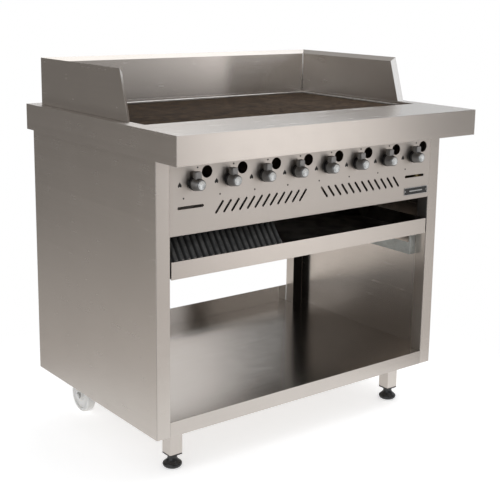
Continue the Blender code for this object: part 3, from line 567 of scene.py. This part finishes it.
def make_welds():
    """Polished weld seams down the two rear inner corners of the splash guard."""
    low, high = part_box("splash_guard")
    inset = GUARD_WALL + WELD_RADIUS * 0.4
    bm = bmesh.new()
    for _, sign in SIDES:
        outline = arc((sign * (high.x - inset), high.y - inset), WELD_RADIUS, 0, 330, 11)
        prism(bm, outline, low.z + 0.001, high.z - GUARD_WALL, "Z", (0.002, 0.5))
    make("guard_welds", bm, "weld", "body")


def make_guard_foot():
    """Seam bead along the guard's foot, just above the grates: a real bead that catches light, pale so that
    it also paints the highlight line there.
    """
    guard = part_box("splash_guard")[1]
    low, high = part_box("grate_1")
    height = high.z + SEAM_RISE
    side = guard.x - GUARD_WALL
    rear = guard.y - GUARD_WALL
    bm = bmesh.new()
    prism(bm, arc((rear, height), SEAM_RADIUS, 0, 330, 11), -side, side, "X")
    for _, sign in SIDES:
        prism(bm, arc((sign * side, height), SEAM_RADIUS, 0, 330, 11), low.y + SEAM_SETBACK, rear, "Y")
    make("guard_foot_seam", bm, "weld", "body")


def make_back_screws():
    """Pan-head screws that hold the back panel to the frame."""
    low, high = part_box("back_panel")
    profile = [(-0.0005, 0.0), (-0.0005, SCREW_RADIUS), (0.0004, SCREW_RADIUS)]
    for turn in (math.radians(25), math.radians(45), math.radians(60)):
        profile.append((0.0004 + 0.0018 * math.sin(turn), SCREW_RADIUS * math.cos(turn)))
    profile += [(0.0010, 0.0012), (0.0010, 0.0)]
    bm = bmesh.new()
    for across in (-1, 0, 1):
        for up in (-1, 0, 1):
            if across == up == 0:
                continue
            x = (low.x + high.x) / 2 + across * ((high.x - low.x) / 2 - SCREW_INSET)
            z = (low.z + high.z) / 2 + up * ((high.z - low.z) / 2 - SCREW_INSET)
            lathe(bm, profile, (x, high.y, z), (0, 1, 0), 20)
    make("back_screws", bm, "zinc", "body")


# ---------------------------------------------------------------- control panel
FOLD_RADIUS = 0.0015
STEM_HOLE_RADIUS = 0.006
SIGHT_RADIUS = 0.0155
VENT_WIDTH = 0.0065
VENT_PITCH = 0.0246
VENT_RUN = 0.0240
VENT_RISE = 0.0310
VENT_MIDDLE_HEIGHT = 0.6945
VENTS = 12
VENT_BANK_X = (-0.302, 0.0435)
LONG_SLOT_WIDTH = 0.0075
LONG_SLOT_LENGTH = 0.077
LONG_SLOT_X = 0.388
LONG_SLOT_Z = 0.704
CUTTER_DEPTH = 0.006


def knob_axis(index):
    """Point on the axis of knob number index, counted from 0, at the knob's rear face."""
    return Vector(JOINTS[f"knob_{index + 1}_turn"]["pos_m"])


def disc_cutter(bm, x, z, radius, segments):
    """A round bar through the control panel."""
    place = Matrix.Translation((x, BODY_FRONT, z)) @ Matrix.Rotation(math.pi / 2, 4, "X")
    bmesh.ops.create_cone(bm, cap_ends=True, segments=segments, radius1=radius, radius2=radius,
                          depth=2 * CUTTER_DEPTH, matrix=place)


def slot_cutter(bm, x, z, length, width, angle):
    """A round-ended bar through the panel, turned by angle in the panel's plane."""
    radius = width / 2
    half = length / 2 - radius
    outline = arc((half, 0), radius, -90, 90, 10) + arc((-half, 0), radius, 90, 270, 10)
    place = Matrix.Translation((x, BODY_FRONT, z)) @ Matrix.Rotation(-angle, 4, "Y")
    move_faces(bm, prism(bm, outline, -CUTTER_DEPTH, CUTTER_DEPTH, "Y"), place)


def make_control_panel():
    """Front sheet with its lower edge folded back and clean round holes."""
    low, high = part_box("control_panel")
    inner = FOLD_RADIUS - SHEET
    bend = (low.y + FOLD_RADIUS, low.z + FOLD_RADIUS)
    outline = [(low.y, high.z)] + arc(bend, FOLD_RADIUS, 180, 270, 5)
    outline += [(high.y, low.z), (high.y, low.z + SHEET)]
    outline += arc(bend, inner, 270, 180, 3) + [(low.y + SHEET, high.z)]
    bm = bmesh.new()
    prism(bm, outline, low.x, high.x, "X")
    panel = make("control_panel_surface", bm, "panel", "body", ["control_panel"])
    cutters = bmesh.new()
    for index in range(BURNERS):
        axis = knob_axis(index)
        disc_cutter(cutters, axis.x, axis.z, STEM_HOLE_RADIUS, 24)
        near, far = OPENINGS[f"lighting_hole_{index + 1}"]
        disc_cutter(cutters, (near[0] + far[0]) / 2, (near[2] + far[2]) / 2, SIGHT_RADIUS, 56)
    lean = math.atan2(VENT_RISE, VENT_RUN)
    length = math.hypot(VENT_RUN, VENT_RISE)
    for bank_x, angle in ((VENT_BANK_X[0], lean), (VENT_BANK_X[1], -lean)):
        for index in range(VENTS):
            slot_cutter(cutters, bank_x + index * VENT_PITCH, VENT_MIDDLE_HEIGHT, length, VENT_WIDTH, angle)
    for x in (-LONG_SLOT_X, LONG_SLOT_X):
        slot_cutter(cutters, x, LONG_SLOT_Z, LONG_SLOT_LENGTH, LONG_SLOT_WIDTH, 0)
    boolean(panel, cutters, "DIFFERENCE")


FLAME_OFFSET = -0.041
FLAME_HEIGHT = 0.0130
DOT_OFFSETS = ((0.011, 0.038), (-0.030, -0.0345))
DOT_RADIUS = 0.0023
MARK_THICKNESS = 0.00012
BADGE_RIM = 0.0011
BADGE_BAR = 0.0016


def flame_outline(x, z, height):
    """A plain flame: point up, with a notch at its foot."""
    side = [(0.18, 0.26), (0.37, 0.00), (0.43, -0.22), (0.38, -0.42), (0.24, -0.50), (0.12, -0.42)]
    shape = [(0.0, -0.34)] + [(-across, up) for across, up in reversed(side)] + [(0.0, 0.50)] + side
    return [(x + across * height, z + up * height) for across, up in shape]


def make_panel_marks():
    """Printed signs round each knob: a small flame on the left and two dots."""
    bm = bmesh.new()
    front = BODY_FRONT - MARK_THICKNESS
    rear = BODY_FRONT + MARK_THICKNESS
    for index in range(BURNERS):
        axis = knob_axis(index)
        prism(bm, flame_outline(axis.x + FLAME_OFFSET, axis.z, FLAME_HEIGHT), front, rear, "Y")
        for across, up in DOT_OFFSETS:
            prism(bm, arc((axis.x + across, axis.z + up), DOT_RADIUS, 0, 345, 23), front, rear, "Y")
    make("panel_marks", bm, "ink", "body")


def make_badge():
    """Name plate without a name: a light rim, a plain bar and two rivets."""
    low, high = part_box("badge_plate")
    outline = rounded((low.x, low.z), (high.x, high.z), 0.0016)
    bm = bmesh.new()
    prism(bm, outline, low.y + 0.0004, high.y, "Y")
    make("badge_surface", bm, "badge", "body", ["badge_plate"])
    bm = bmesh.new()
    prism(bm, outline, low.y, low.y + 0.0006, "Y")
    rim = make("badge_rim", bm, "paint", "body")
    inside = rounded((low.x + BADGE_RIM, low.z + BADGE_RIM), (high.x - BADGE_RIM, high.z - BADGE_RIM), 0.0010)
    hollow = bmesh.new()
    prism(hollow, inside, low.y - 0.001, low.y + 0.001, "Y")
    boolean(rim, hollow, "DIFFERENCE")
    middle = (low.z + high.z) / 2
    inset = (high.x - low.x) * 0.22
    outline = rounded((low.x + inset, middle - BADGE_BAR), (high.x - inset, middle + BADGE_BAR), 0.0008)
    bar = bmesh.new()
    prism(bar, outline, low.y + 0.0002, low.y + 0.0008, "Y")
    make("badge_bar", bar, "paint", "body")
    rivets = bmesh.new()
    profile = [(-0.0003, 0.0), (-0.0003, 0.0015), (0.0001, 0.0015), (0.0003, 0.0008), (0.0003, 0.0)]
    for x in (low.x + 0.0045, high.x - 0.0045):
        lathe(rivets, profile, (x, low.y + 0.0004, middle), (0, -1, 0), 20)
    make("badge_rivets", rivets, "zinc", "body")


# ---------------------------------------------------------------- knobs
KNOB_SKIRT = 0.0055
KNOB_RADIUS = 0.0175
KNOB_NECK = 0.0168
KNOB_NOSE = 0.0135
KNOB_DEPTH = 0.0280
KNOB_BORE = 0.0043
KNOB_BORE_DEPTH = 0.0205
FIN_HALF = 0.00825
FIN_DEPTH = 0.0170
FIN_EDGE = 0.0022
CAP_RADIUS = 0.0108
CAP_SEAT = KNOB_DEPTH - 0.0005
CAP_FACE = KNOB_DEPTH + 0.0015
SEAL_RADIUS = 0.0170
SEAL_THICKNESS = 0.0012


def fin_outline(x, low_z, high_z):
    """Cross-section of the fin, seen from the front, with a rounded top."""
    reach = FIN_HALF - FIN_EDGE
    points = [(x - FIN_HALF, low_z), (x + FIN_HALF, low_z)]
    points += arc((x + reach, high_z - FIN_EDGE), FIN_EDGE, 0, 90, 4)
    points += arc((x - reach, high_z - FIN_EDGE), FIN_EDGE, 90, 180, 4)
    return points


def make_knob(index):
    """Black skirt, dark turned barrel with its fin, bright cap, and the seal on the panel behind it."""
    number = index + 1
    node = f"knob_{number}"
    body = body_of(node)
    axis = knob_axis(index)
    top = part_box(node)[1].z
    out = (0, -1, 0)
    barrel = [(KNOB_BORE_DEPTH, 0.0), (KNOB_BORE_DEPTH, KNOB_BORE), (KNOB_SKIRT, KNOB_BORE),
              (KNOB_SKIRT, KNOB_NECK - 0.0006), (KNOB_SKIRT + 0.0005, KNOB_NECK),
              (KNOB_DEPTH - 0.0016, KNOB_NOSE + 0.0002), (KNOB_DEPTH - 0.0007, KNOB_NOSE - 0.0003),
              (KNOB_DEPTH - 0.0001, KNOB_NOSE - 0.0011), (KNOB_DEPTH, CAP_RADIUS + 0.0004),
              (CAP_SEAT, CAP_RADIUS), (CAP_SEAT, 0.0)]
    bm = bmesh.new()
    lathe(bm, barrel, axis, out)
    piece = make(f"knob_barrel_{number}", bm, "knob", body, [node])
    fin = bmesh.new()
    prism(fin, fin_outline(axis.x, axis.z + KNOB_BORE + 0.0012, top), axis.y - FIN_DEPTH,
          axis.y - 0.0006, "Y", (0.0010, 0.93))
    boolean(piece, fin, "UNION")
    skirt = [(0.0, KNOB_BORE), (0.0, KNOB_RADIUS - 0.0008), (0.0004, KNOB_RADIUS - 0.0001),
             (0.0012, KNOB_RADIUS), (KNOB_SKIRT - 0.0008, KNOB_RADIUS),
             (KNOB_SKIRT - 0.0002, KNOB_RADIUS - 0.0003), (KNOB_SKIRT, KNOB_RADIUS - 0.0010),
             (KNOB_SKIRT, KNOB_BORE), (0.0, KNOB_BORE)]
    bm = closed_turning(skirt, axis, out, 64)
    make(f"knob_skirt_{number}", bm, "skirt", body)
    cap = [(CAP_SEAT, 0.0), (CAP_SEAT, CAP_RADIUS - 0.0001), (CAP_FACE - 0.0006, CAP_RADIUS - 0.0001),
           (CAP_FACE - 0.0001, CAP_RADIUS - 0.0006), (CAP_FACE, CAP_RADIUS - 0.0014),
           (CAP_FACE - 0.0002, CAP_RADIUS - 0.0020), (CAP_FACE - 0.0004, 0.0)]
    bm = bmesh.new()
    lathe(bm, cap, axis, out)
    make(f"knob_cap_{number}", bm, "cap", body)
    seal = [(0.0, STEM_HOLE_RADIUS), (0.0, SEAL_RADIUS), (SEAL_THICKNESS * 0.6, SEAL_RADIUS),
            (SEAL_THICKNESS, SEAL_RADIUS - 0.0006), (SEAL_THICKNESS, STEM_HOLE_RADIUS),
            (0.0, STEM_HOLE_RADIUS)]
    bm = closed_turning(seal, (axis.x, BODY_FRONT - 0.0001, axis.z), out, 64)
    make(f"knob_seal_{number}", bm, "skirt", "body")
    refined(f"valve_stem_{number}", "zinc", 0.0003)


# ---------------------------------------------------------------- gas train, burners and radiants
BURNER_WALL = 0.0015
BURNER_GROOVE = 0.0006
PORTS = 30
PORT_LEAN = math.radians(48)
PORT_HALF = Vector((0.0034, 0.0006, 0.0003))


def make_burner(index):
    """Tube burner with a rolled mouth, an air sleeve and a domed rear end, and dark blocks that paint the
    shade of its two rows of ports.
    """
    node = f"burner_{index + 1}"
    low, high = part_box(node)
    radius = (high.x - low.x) / 2
    length = high.y - low.y
    inner = radius - BURNER_WALL
    tube = radius - BURNER_GROOVE
    centre = ((low.x + high.x) / 2, low.y, (low.z + high.z) / 2)
    outer = [(0.0, inner), (0.0, radius - 0.0003), (0.0006, radius), (0.0030, radius), (0.0036, tube),
             (0.0200, tube), (0.0206, radius), (0.0440, radius), (0.0446, tube), (length - 0.0090, tube),
             (length - 0.0030, radius - 0.0030), (length, radius - 0.0095), (length, 0.0)]
    inside = [(length - BURNER_WALL, 0.0), (length - BURNER_WALL, inner - 0.0080),
              (length - 0.0090, inner), (0.0, inner)]
    bm = closed_turning(outer + inside, centre, (0, 1, 0), 40)
    make(f"burner_tube_{index + 1}", bm, "burner", body_of(node), [node])
    # the ports are not cut: dark iron blocks on the tube stand in for the shade inside them
    ports = bmesh.new()
    for lean in (-PORT_LEAN, PORT_LEAN):
        for step in range(PORTS):
            y = low.y + 0.062 + step * (length - 0.085) / (PORTS - 1)
            middle = (centre[0] + math.sin(lean) * tube, y, centre[2] + math.cos(lean) * tube)
            place = Matrix.Translation(middle) @ Matrix.Rotation(lean, 4, "Y")
            bmesh.ops.create_cube(ports, size=2.0, matrix=place @ Matrix.Diagonal((*PORT_HALF, 1.0)))
    make(f"burner_port_shade_{index + 1}", ports, "radiant", body_of(node))


def dress_gas_train():
    """Manifold, valves, burners and the radiants over them."""
    refined("gas_manifold", "brass", 0.0005)
    for index in range(BURNERS):
        make_burner(index)
        refined(f"radiant_{index + 1}", "radiant", 0.0007)


SHADE_SHEET_GAP = 0.003
SHADE_SHEET_FOOT = 0.008
SHADE_SHEET_THICKNESS = 0.0015
SHADE_SHEET_SIDE_GAP = 0.006


def make_shade_sheet():
    """Sloping sheet from behind the radiants down into the tray, put there for its shade: it closes the gap
    where the white room showed between the grate bars.
    """
    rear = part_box("radiant_1")[1].y + SHADE_SHEET_GAP
    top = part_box("firebox")[0].z
    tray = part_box("drip_tray")[1]
    foot = tray.y - SHADE_SHEET_FOOT
    bottom = tray.z + SHADE_SHEET_FOOT
    side = tray.x - SHADE_SHEET_SIDE_GAP
    outline = [(rear, top), (foot, bottom), (foot + SHADE_SHEET_THICKNESS, bottom), (rear + SHADE_SHEET_THICKNESS, top)]
    bm = bmesh.new()
    prism(bm, outline, -side, side, "X")
    # a sheet put in for the shade it casts, in the sooty firebox colour
    make("rear_shade_sheet", bm, "firebox", "body")


# ---------------------------------------------------------------- grates
GRATE_BARS = 22
BAR_TOP = 0.0052
BAR_FOOT = 0.0030
BAR_EDGE = 0.0022
GRATE_SIDE_GAP = 0.0015
RIBS = 18
RIB_WIDTH = 0.0040
RIB_LOW = 0.001
RIB_HIGH = 0.0078
RIB_INSET = 0.006


def bar_outline(x, low_z, high_z):
    """Cross-section of a grate bar: narrow foot, rounded top."""
    half = BAR_TOP / 2
    shoulder = high_z - 1.3 * BAR_EDGE
    points = [(x - BAR_FOOT / 2, low_z), (x + BAR_FOOT / 2, low_z), (x + half, shoulder)]
    points += arc((x + half - BAR_EDGE, high_z - BAR_EDGE), BAR_EDGE, 0, 90, 4)
    points += arc((x - half + BAR_EDGE, high_z - BAR_EDGE), BAR_EDGE, 90, 180, 4)
    return points + [(x - half, shoulder)]


def make_first_grate():
    """Cast grate: tapered bars with rounded tops on a row of lower cross ribs."""
    low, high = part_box("grate_1")
    bars = bmesh.new()
    spacing = (high.x - low.x - BAR_TOP - 2 * GRATE_SIDE_GAP) / (GRATE_BARS - 1)
    for step in range(GRATE_BARS):
        x = low.x + GRATE_SIDE_GAP + BAR_TOP / 2 + step * spacing
        prism(bars, bar_outline(x, low.z, high.z), low.y, high.y, "Y", (0.0015, 0.8))
    piece = make("grate_bars_1", bars, "grate", body_of("grate_1"), ["grate_1"])
    ribs = bmesh.new()
    run = high.y - low.y - 2 * RIB_INSET - RIB_WIDTH
    for step in range(RIBS):
        y = low.y + RIB_INSET + step * run / (RIBS - 1)
        outline = rounded((y, low.z + RIB_LOW), (y + RIB_WIDTH, low.z + RIB_HIGH), 0.0012, 3)
        prism(ribs, outline, low.x + 0.002, high.x - 0.002, "X")
    boolean(piece, ribs, "UNION")
    return piece


def make_grates():
    """All the grates: the others are copies of the first."""
    first = make_first_grate()
    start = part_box("grate_1")[0].x
    for index in range(1, GRATES):
        node = f"grate_{index + 1}"
        mesh = first.data.copy()
        mesh.transform(Matrix.Translation((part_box(node)[0].x - start, 0, 0)))
        piece = bpy.data.objects.new(f"grate_bars_{index + 1}", mesh)
        bpy.context.scene.collection.objects.link(piece)
        settle(piece, body_of(node), [node])


# ---------------------------------------------------------------- baffle in the tray
BAFFLE_RIBS = 19
BAFFLE_FRONT = -0.2600
BAFFLE_RISE = math.radians(52)
BAFFLE_LENGTH = 0.066
BAFFLE_DEPTH = 0.0060
BAFFLE_SHEET = 0.0010
RIB_STEPS = 8


def make_baffle():
    """Ribbed grease baffle that leans back from the tray's front lip, over its left half."""
    start = Vector((0, BAFFLE_FRONT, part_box("drip_tray")[1].z - 0.0035))
    along = Vector((0, math.cos(BAFFLE_RISE), math.sin(BAFFLE_RISE)))
    out = Vector((0, -math.sin(BAFFLE_RISE), math.cos(BAFFLE_RISE)))
    bm = bmesh.new()
    points = []
    for step in range(BAFFLE_RIBS * RIB_STEPS + 1):
        swing = math.cos(math.tau * step / RIB_STEPS)
        height = BAFFLE_DEPTH * (0.5 + 0.5 * math.copysign(abs(swing) ** 0.7, swing))
        points.append((BAFFLE_LEFT + step * BAFFLE_PITCH / RIB_STEPS, height))
    rows = []
    for share in (0.0, 0.06, 0.5, 1.0):
        lift = 0.35 if share == 0.0 else 1.0
        line = start + along * (BAFFLE_LENGTH * share)
        for skin in (0.0, -BAFFLE_SHEET):
            rows.append([bm.verts.new(Vector((x, 0, 0)) + line + out * (height * lift + skin))
                         for x, height in points])
    top = rows[0::2]
    under = rows[1::2]
    for index in range(len(points) - 1):
        after = index + 1
        for before, later in zip(top, top[1:]):
            bm.faces.new([before[index], before[after], later[after], later[index]])
        for before, later in zip(under, under[1:]):
            bm.faces.new([before[after], before[index], later[index], later[after]])
        bm.faces.new([under[0][index], under[0][after], top[0][after], top[0][index]])
        bm.faces.new([top[-1][index], top[-1][after], under[-1][after], under[-1][index]])
    for end in (0, -1):
        for row in range(len(top) - 1):
            bm.faces.new([top[row][end], top[row + 1][end], under[row + 1][end], under[row][end]])
    bmesh.ops.recalc_face_normals(bm, faces=bm.faces)
    make("tray_baffle", bm, "baffle", body_of("drip_tray"))
    # pale tabs on the rib ends: their light colour is a painted highlight
    first_tip = start + along * 0.004 + out * 0.0038
    tips = bmesh.new()
    for step in range(BAFFLE_RIBS):
        middle = Vector((BAFFLE_LEFT + (step + 1) * BAFFLE_PITCH, 0, 0)) + first_tip
        place = Matrix.Translation(middle) @ Matrix.Rotation(BAFFLE_RISE, 4, "X")
        faces = prism(tips, rounded((-0.0028, -0.0030), (0.0028, 0.0080), 0.0020, 3), -0.0006, 0.0010, "Z")
        move_faces(tips, faces, place)
    make("baffle_tips", tips, "tip", body_of("drip_tray"))


# ---------------------------------------------------------------- feet and castors
def make_foot(side):
    """Glossy bell-shaped levelling foot with its screw."""
    node = f"foot_glide_{side}"
    low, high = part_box(node)
    centre = ((low.x + high.x) / 2, (low.y + high.y) / 2, low.z)
    profile = [(0.0, 0.0), (0.0, 0.0200), (0.0006, 0.0214), (0.0022, 0.0236), (0.0045, 0.0251),
               (0.0075, 0.0260), (0.0100, 0.0256), (0.0122, 0.0240), (0.0140, 0.0216), (0.0158, 0.0196),
               (0.0180, 0.0172), (0.0205, 0.0150), (0.0235, 0.0134), (0.0260, 0.0128), (0.0330, 0.0123),
               (0.0338, 0.0116), (0.0338, 0.0058)]
    height = 0.0338
    top = high.z - low.z
    while height < top - 0.0020:
        profile += [(height + 0.0006, 0.0060), (height + 0.0013, 0.0054)]
        height += 0.0015
    profile += [(top - 0.0004, 0.0056), (top, 0.0048), (top, 0.0)]
    bm = bmesh.new()
    lathe(bm, profile, centre, (0, 0, 1), 56)
    make(f"foot_bell_{side}", bm, "gloss", body_of(node), [node])


NUT_RADIUS = 0.0088
SHANK_RADIUS = 0.0049
WASHER_RADIUS = 0.0089
SPACER_RADIUS = 0.0067


def make_castor(side, sign):
    """Nylon wheel with a crowned tread and hub, and its axle bolt."""
    node = f"castor_wheel_{side}"
    low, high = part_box(node)
    centre = (low + high) / 2
    half = (high.x - low.x) / 2
    radius = (high.z - low.z) / 2
    right = [(half, 0.0053), (half, 0.0135), (half - 0.0006, 0.0142), (half - 0.0048, 0.0156),
             (half - 0.0052, 0.0165), (half - 0.0052, 0.0355), (half - 0.0048, 0.0366),
             (half - 0.0020, 0.0385), (half - 0.0015, 0.0395), (half - 0.0017, 0.0455),
             (half - 0.0032, 0.0474)]
    crown = [(half * share, radius - 0.0022 * abs(share) ** 2.2) for share in (0.68, 0.5, 0.3, 0.1)]
    profile = right + crown
    profile = profile + [(-along, reach) for along, reach in reversed(profile)] + [right[0]]
    bm = closed_turning(profile, centre, (1, 0, 0), 72)
    make(f"castor_tyre_{side}", bm, "wheel", body_of(node), [node])
    make_castor_bolt(side, sign, centre, half)


def make_castor_bolt(side, sign, centre, half):
    """A castor's axle bolt: hexagon head and nut, then shank, washer and spacer."""
    axle = f"castor_axle_{side}"
    inner, outer = [end.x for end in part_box(axle)][::sign]
    face = centre.x + sign * half
    back = face - sign * 2 * half
    cheek = back - sign * 0.0065
    bm = bmesh.new()
    for start, end in ((face + sign * 0.0018, outer), (cheek - sign * 0.0070, cheek - sign * 0.0008)):
        near, far = sorted((start, end))
        prism(bm, arc((0, 0), NUT_RADIUS, 0, 300, 5), near, far, "X", (0.0008, 0.88))
    bmesh.ops.transform(bm, matrix=Matrix.Translation((0, centre.y, centre.z)), verts=bm.verts)
    for start, end, size in ((inner, outer - sign * 0.0030, SHANK_RADIUS),
                             (face + sign * 0.0010, face + sign * 0.0020, WASHER_RADIUS),
                             (cheek + sign * 0.0034, back - sign * 0.0004, SPACER_RADIUS)):
        near, far = sorted((start, end))
        profile = [(near, 0.0), (near, size * 0.94), (near + 0.0003, size), (far - 0.0003, size),
                   (far, size * 0.94), (far, 0.0)]
        lathe(bm, profile, (0, centre.y, centre.z), (1, 0, 0), 32)
    make(f"castor_bolt_{side}", bm, "zinc", body_of(axle), [axle])


# ---------------------------------------------------------------- studio
WHITE_ROOM = (1.0, 1.0, 1.0)
FLOOR_RADIUS = 1.15
FLOOR_FADE = 0.52


def make_floor():
    """Pale floor that fades into the white room."""
    bm = bmesh.new()
    bmesh.ops.create_circle(bm, cap_ends=True, segments=96, radius=FLOOR_RADIUS,
                            matrix=Matrix.Translation((0, 0, -0.0002)))
    mesh = bpy.data.meshes.new("floor")
    bm.to_mesh(mesh)
    bm.free()
    floor = bpy.data.objects.new("floor", mesh)
    bpy.context.scene.collection.objects.link(floor)
    made = bpy.data.materials.new("studio_floor")
    made.use_nodes = True
    tree = made.node_tree
    shader = tree.nodes["Principled BSDF"]
    for key, value in {"Base Color": solid((0.86, 0.86, 0.86)), "Roughness": 0.9, "Specular IOR Level": 0.1,
                       "Emission Color": solid(WHITE_ROOM), "Emission Strength": 0.55}.items():
        shader.inputs[key].default_value = value
    place = put(tree, "ShaderNodeTexCoord").outputs["Object"]
    reach = put(tree, "ShaderNodeVectorMath", {0: place}, operation="LENGTH").outputs["Value"]
    fade = ramp(tree, reach, FLOOR_FADE, FLOOR_RADIUS - 0.1, 0.0, 1.0)
    clear = put(tree, "ShaderNodeBsdfTransparent").outputs[0]
    both = put(tree, "ShaderNodeMixShader", {0: fade, 1: shader.outputs[0], 2: clear}).outputs[0]
    tree.links.new(both, tree.nodes["Material Output"].inputs["Surface"])
    mesh.materials.append(made)


BASE_LIGHT = (0.50, 0.50, 0.50)
WINDOWS = (
    # azimuth from +Y towards +X, half width, softness, lowest and highest elevation, its softness, colour
    (180, 70, 25, -90, 60, 20, (0.33, 0.325, 0.32)),
    (46, 18, 8, 28, 44, 8, (1.70, 1.75, 1.80)),
    (142, 6, 3, 9, 20, 3, (1.50, 1.58, 1.70)),
    (42, 14, 6, 0, 13, 4, (0.68, 0.70, 0.72)),
    (35, 6, 3, 0, 13, 4, (0.90, 0.93, 0.96)),
    (51, 3, 3, 0, 13, 4, (0.80, 0.83, 0.86)),
    (34, 5, 5, 17, 22, 3, (0.75, 0.72, 0.70)),
    (47, 8, 5, 17, 24, 3, (0.08, 0.075, 0.07)),
    (-45, 10, 5, 8, 30, 5, (0.12, 0.11, 0.10)),
    (140, 25, 8, -90, -13, 4, (0.95, 0.93, 0.92)),
    (140, 25, 8, -90, -22, 5, (0.58, 0.53, 0.49)),
    (129, 4, 3, -90, -16, 3, (0.50, 0.48, 0.46)),
    (140.6, 4.6, 2, -12, 8, 4, (1.62, 1.58, 1.57)),
    (151, 2.5, 3, -12, 12, 5, (0.55, 0.55, 0.55)),
    (126, 5.0, 4, -10, 12, 3, (0.15, 0.15, 0.15)),
    (129, 7, 3, -16, -11, 1.5, (0.95, 0.93, 0.91)),
    (-142, 14, 8, -9, 12, 4, (0.62, 0.60, 0.57)),
    (-128, 12, 6, 8, 40, 5, (1.50, 1.62, 1.75)),
    (-141, 14, 8, -40, -13, 4, (0.05, 0.045, 0.04)),
    (-29, 12, 6, -90, -10, 2, (0.70, 0.67, 0.64)),
    (-26, 13, 4, -12, 12, 8, (0.20, 0.19, 0.18)),
    (-48, 8, 3, -40, -12.5, 2, (1.20, 1.12, 1.04)),
    (53, 8, 4, -12, 2, 3, (1.50, 1.55, 1.60)),
    (-95, 22, 10, -5, 50, 12, (0.95, 0.96, 0.98)),
    (95, 14, 8, -5, 50, 12, (0.80, 0.82, 0.85)),
)


def make_world():
    """Plain studio: broad soft windows over a grey room, and white where the camera looks past the grill."""
    world = bpy.data.worlds.new("studio")
    bpy.context.scene.world = world
    world.use_nodes = True
    tree = world.node_tree
    tree.nodes.clear()
    ways = split(tree, put(tree, "ShaderNodeTexCoord").outputs["Generated"])
    bearing = calc(tree, "ARCTAN2", ways["X"], ways["Y"])
    elevation = calc(tree, "DEGREES", calc(tree, "ARCSINE", ways["Z"]))
    colour = BASE_LIGHT
    for azimuth, half, soft, low, high, edge, tint in WINDOWS:
        off = calc(tree, "COSINE", calc(tree, "SUBTRACT", bearing, math.radians(azimuth)))
        off = calc(tree, "DEGREES", calc(tree, "ARCCOSINE", off))
        mask = ramp(tree, off, half, half + soft, 1.0, 0.0)
        mask = calc(tree, "MULTIPLY", mask, ramp(tree, elevation, low - edge, low, 0.0, 1.0))
        mask = calc(tree, "MULTIPLY", mask, ramp(tree, elevation, high, high + edge, 1.0, 0.0))
        colour = mix_colour(tree, mask, colour, tint)
    seen = put(tree, "ShaderNodeLightPath").outputs["Is Camera Ray"]
    colour = mix_colour(tree, seen, colour, WHITE_ROOM)
    light = put(tree, "ShaderNodeBackground", {"Color": colour, "Strength": 1.0}).outputs[0]
    output = put(tree, "ShaderNodeOutputWorld")
    tree.links.new(light, output.inputs["Surface"])


def make_lamp(name, place, target, size, power, colour):
    """A square soft box."""
    lamp = bpy.data.lights.new(name, "AREA")
    lamp.shape = "SQUARE"
    lamp.size = size
    lamp.energy = power
    lamp.color = colour
    holder = bpy.data.objects.new(name, lamp)
    holder.location = place
    holder.rotation_euler = (Vector(target) - Vector(place)).to_track_quat("-Z", "Y").to_euler()
    bpy.context.scene.collection.objects.link(holder)


CAMERA_PLACE = (-1.7641, -2.2956, 1.2245)
CAMERA_YAW = math.radians(38.0792)
CAMERA_PITCH = math.radians(-11.5689)
CAMERA_ROLL = math.radians(0.8737)
CAMERA_LENS = 74.22
CAMERA_SHIFT = (-0.020, -0.100)


def make_camera():
    """Camera to the left in front of the grill, level with the guard's top."""
    camera = bpy.data.cameras.new("camera")
    camera.lens = CAMERA_LENS
    camera.sensor_width = 36.0
    camera.shift_x, camera.shift_y = CAMERA_SHIFT
    right = Vector((math.cos(CAMERA_YAW), -math.sin(CAMERA_YAW), 0.0))
    level = Vector((math.sin(CAMERA_YAW), math.cos(CAMERA_YAW), 0.0))
    ahead = math.cos(CAMERA_PITCH) * level + Vector((0.0, 0.0, math.sin(CAMERA_PITCH)))
    up = right.cross(ahead)
    tilted_right = math.cos(CAMERA_ROLL) * right + math.sin(CAMERA_ROLL) * up
    tilted_up = -math.sin(CAMERA_ROLL) * right + math.cos(CAMERA_ROLL) * up
    holder = bpy.data.objects.new("camera", camera)
    axes = Matrix((tilted_right, tilted_up, -ahead)).transposed().to_4x4()
    holder.matrix_world = Matrix.Translation(CAMERA_PLACE) @ axes
    bpy.context.scene.collection.objects.link(holder)
    bpy.context.scene.camera = holder


# ---------------------------------------------------------------- the whole scene
make_camera()
dress_sheets()
make_welds()
make_guard_foot()
make_back_screws()
make_control_panel()
make_panel_marks()
make_badge()
for knob in range(BURNERS):
    make_knob(knob)
dress_gas_train()
make_shade_sheet()
make_grates()
make_baffle()
for side_name, side_sign in SIDES:
    make_foot(side_name)
    make_castor(side_name, side_sign)
make_floor()
make_world()
make_lamp("overhead", place=(0.9, -0.6, 3.3), target=(0.15, -0.1, 0.6), size=3.0, power=42.0,
          colour=(0.96, 0.98, 1.0))
bpy.context.scene.view_settings.view_transform = "Standard"

bpy.context.view_layer.update()
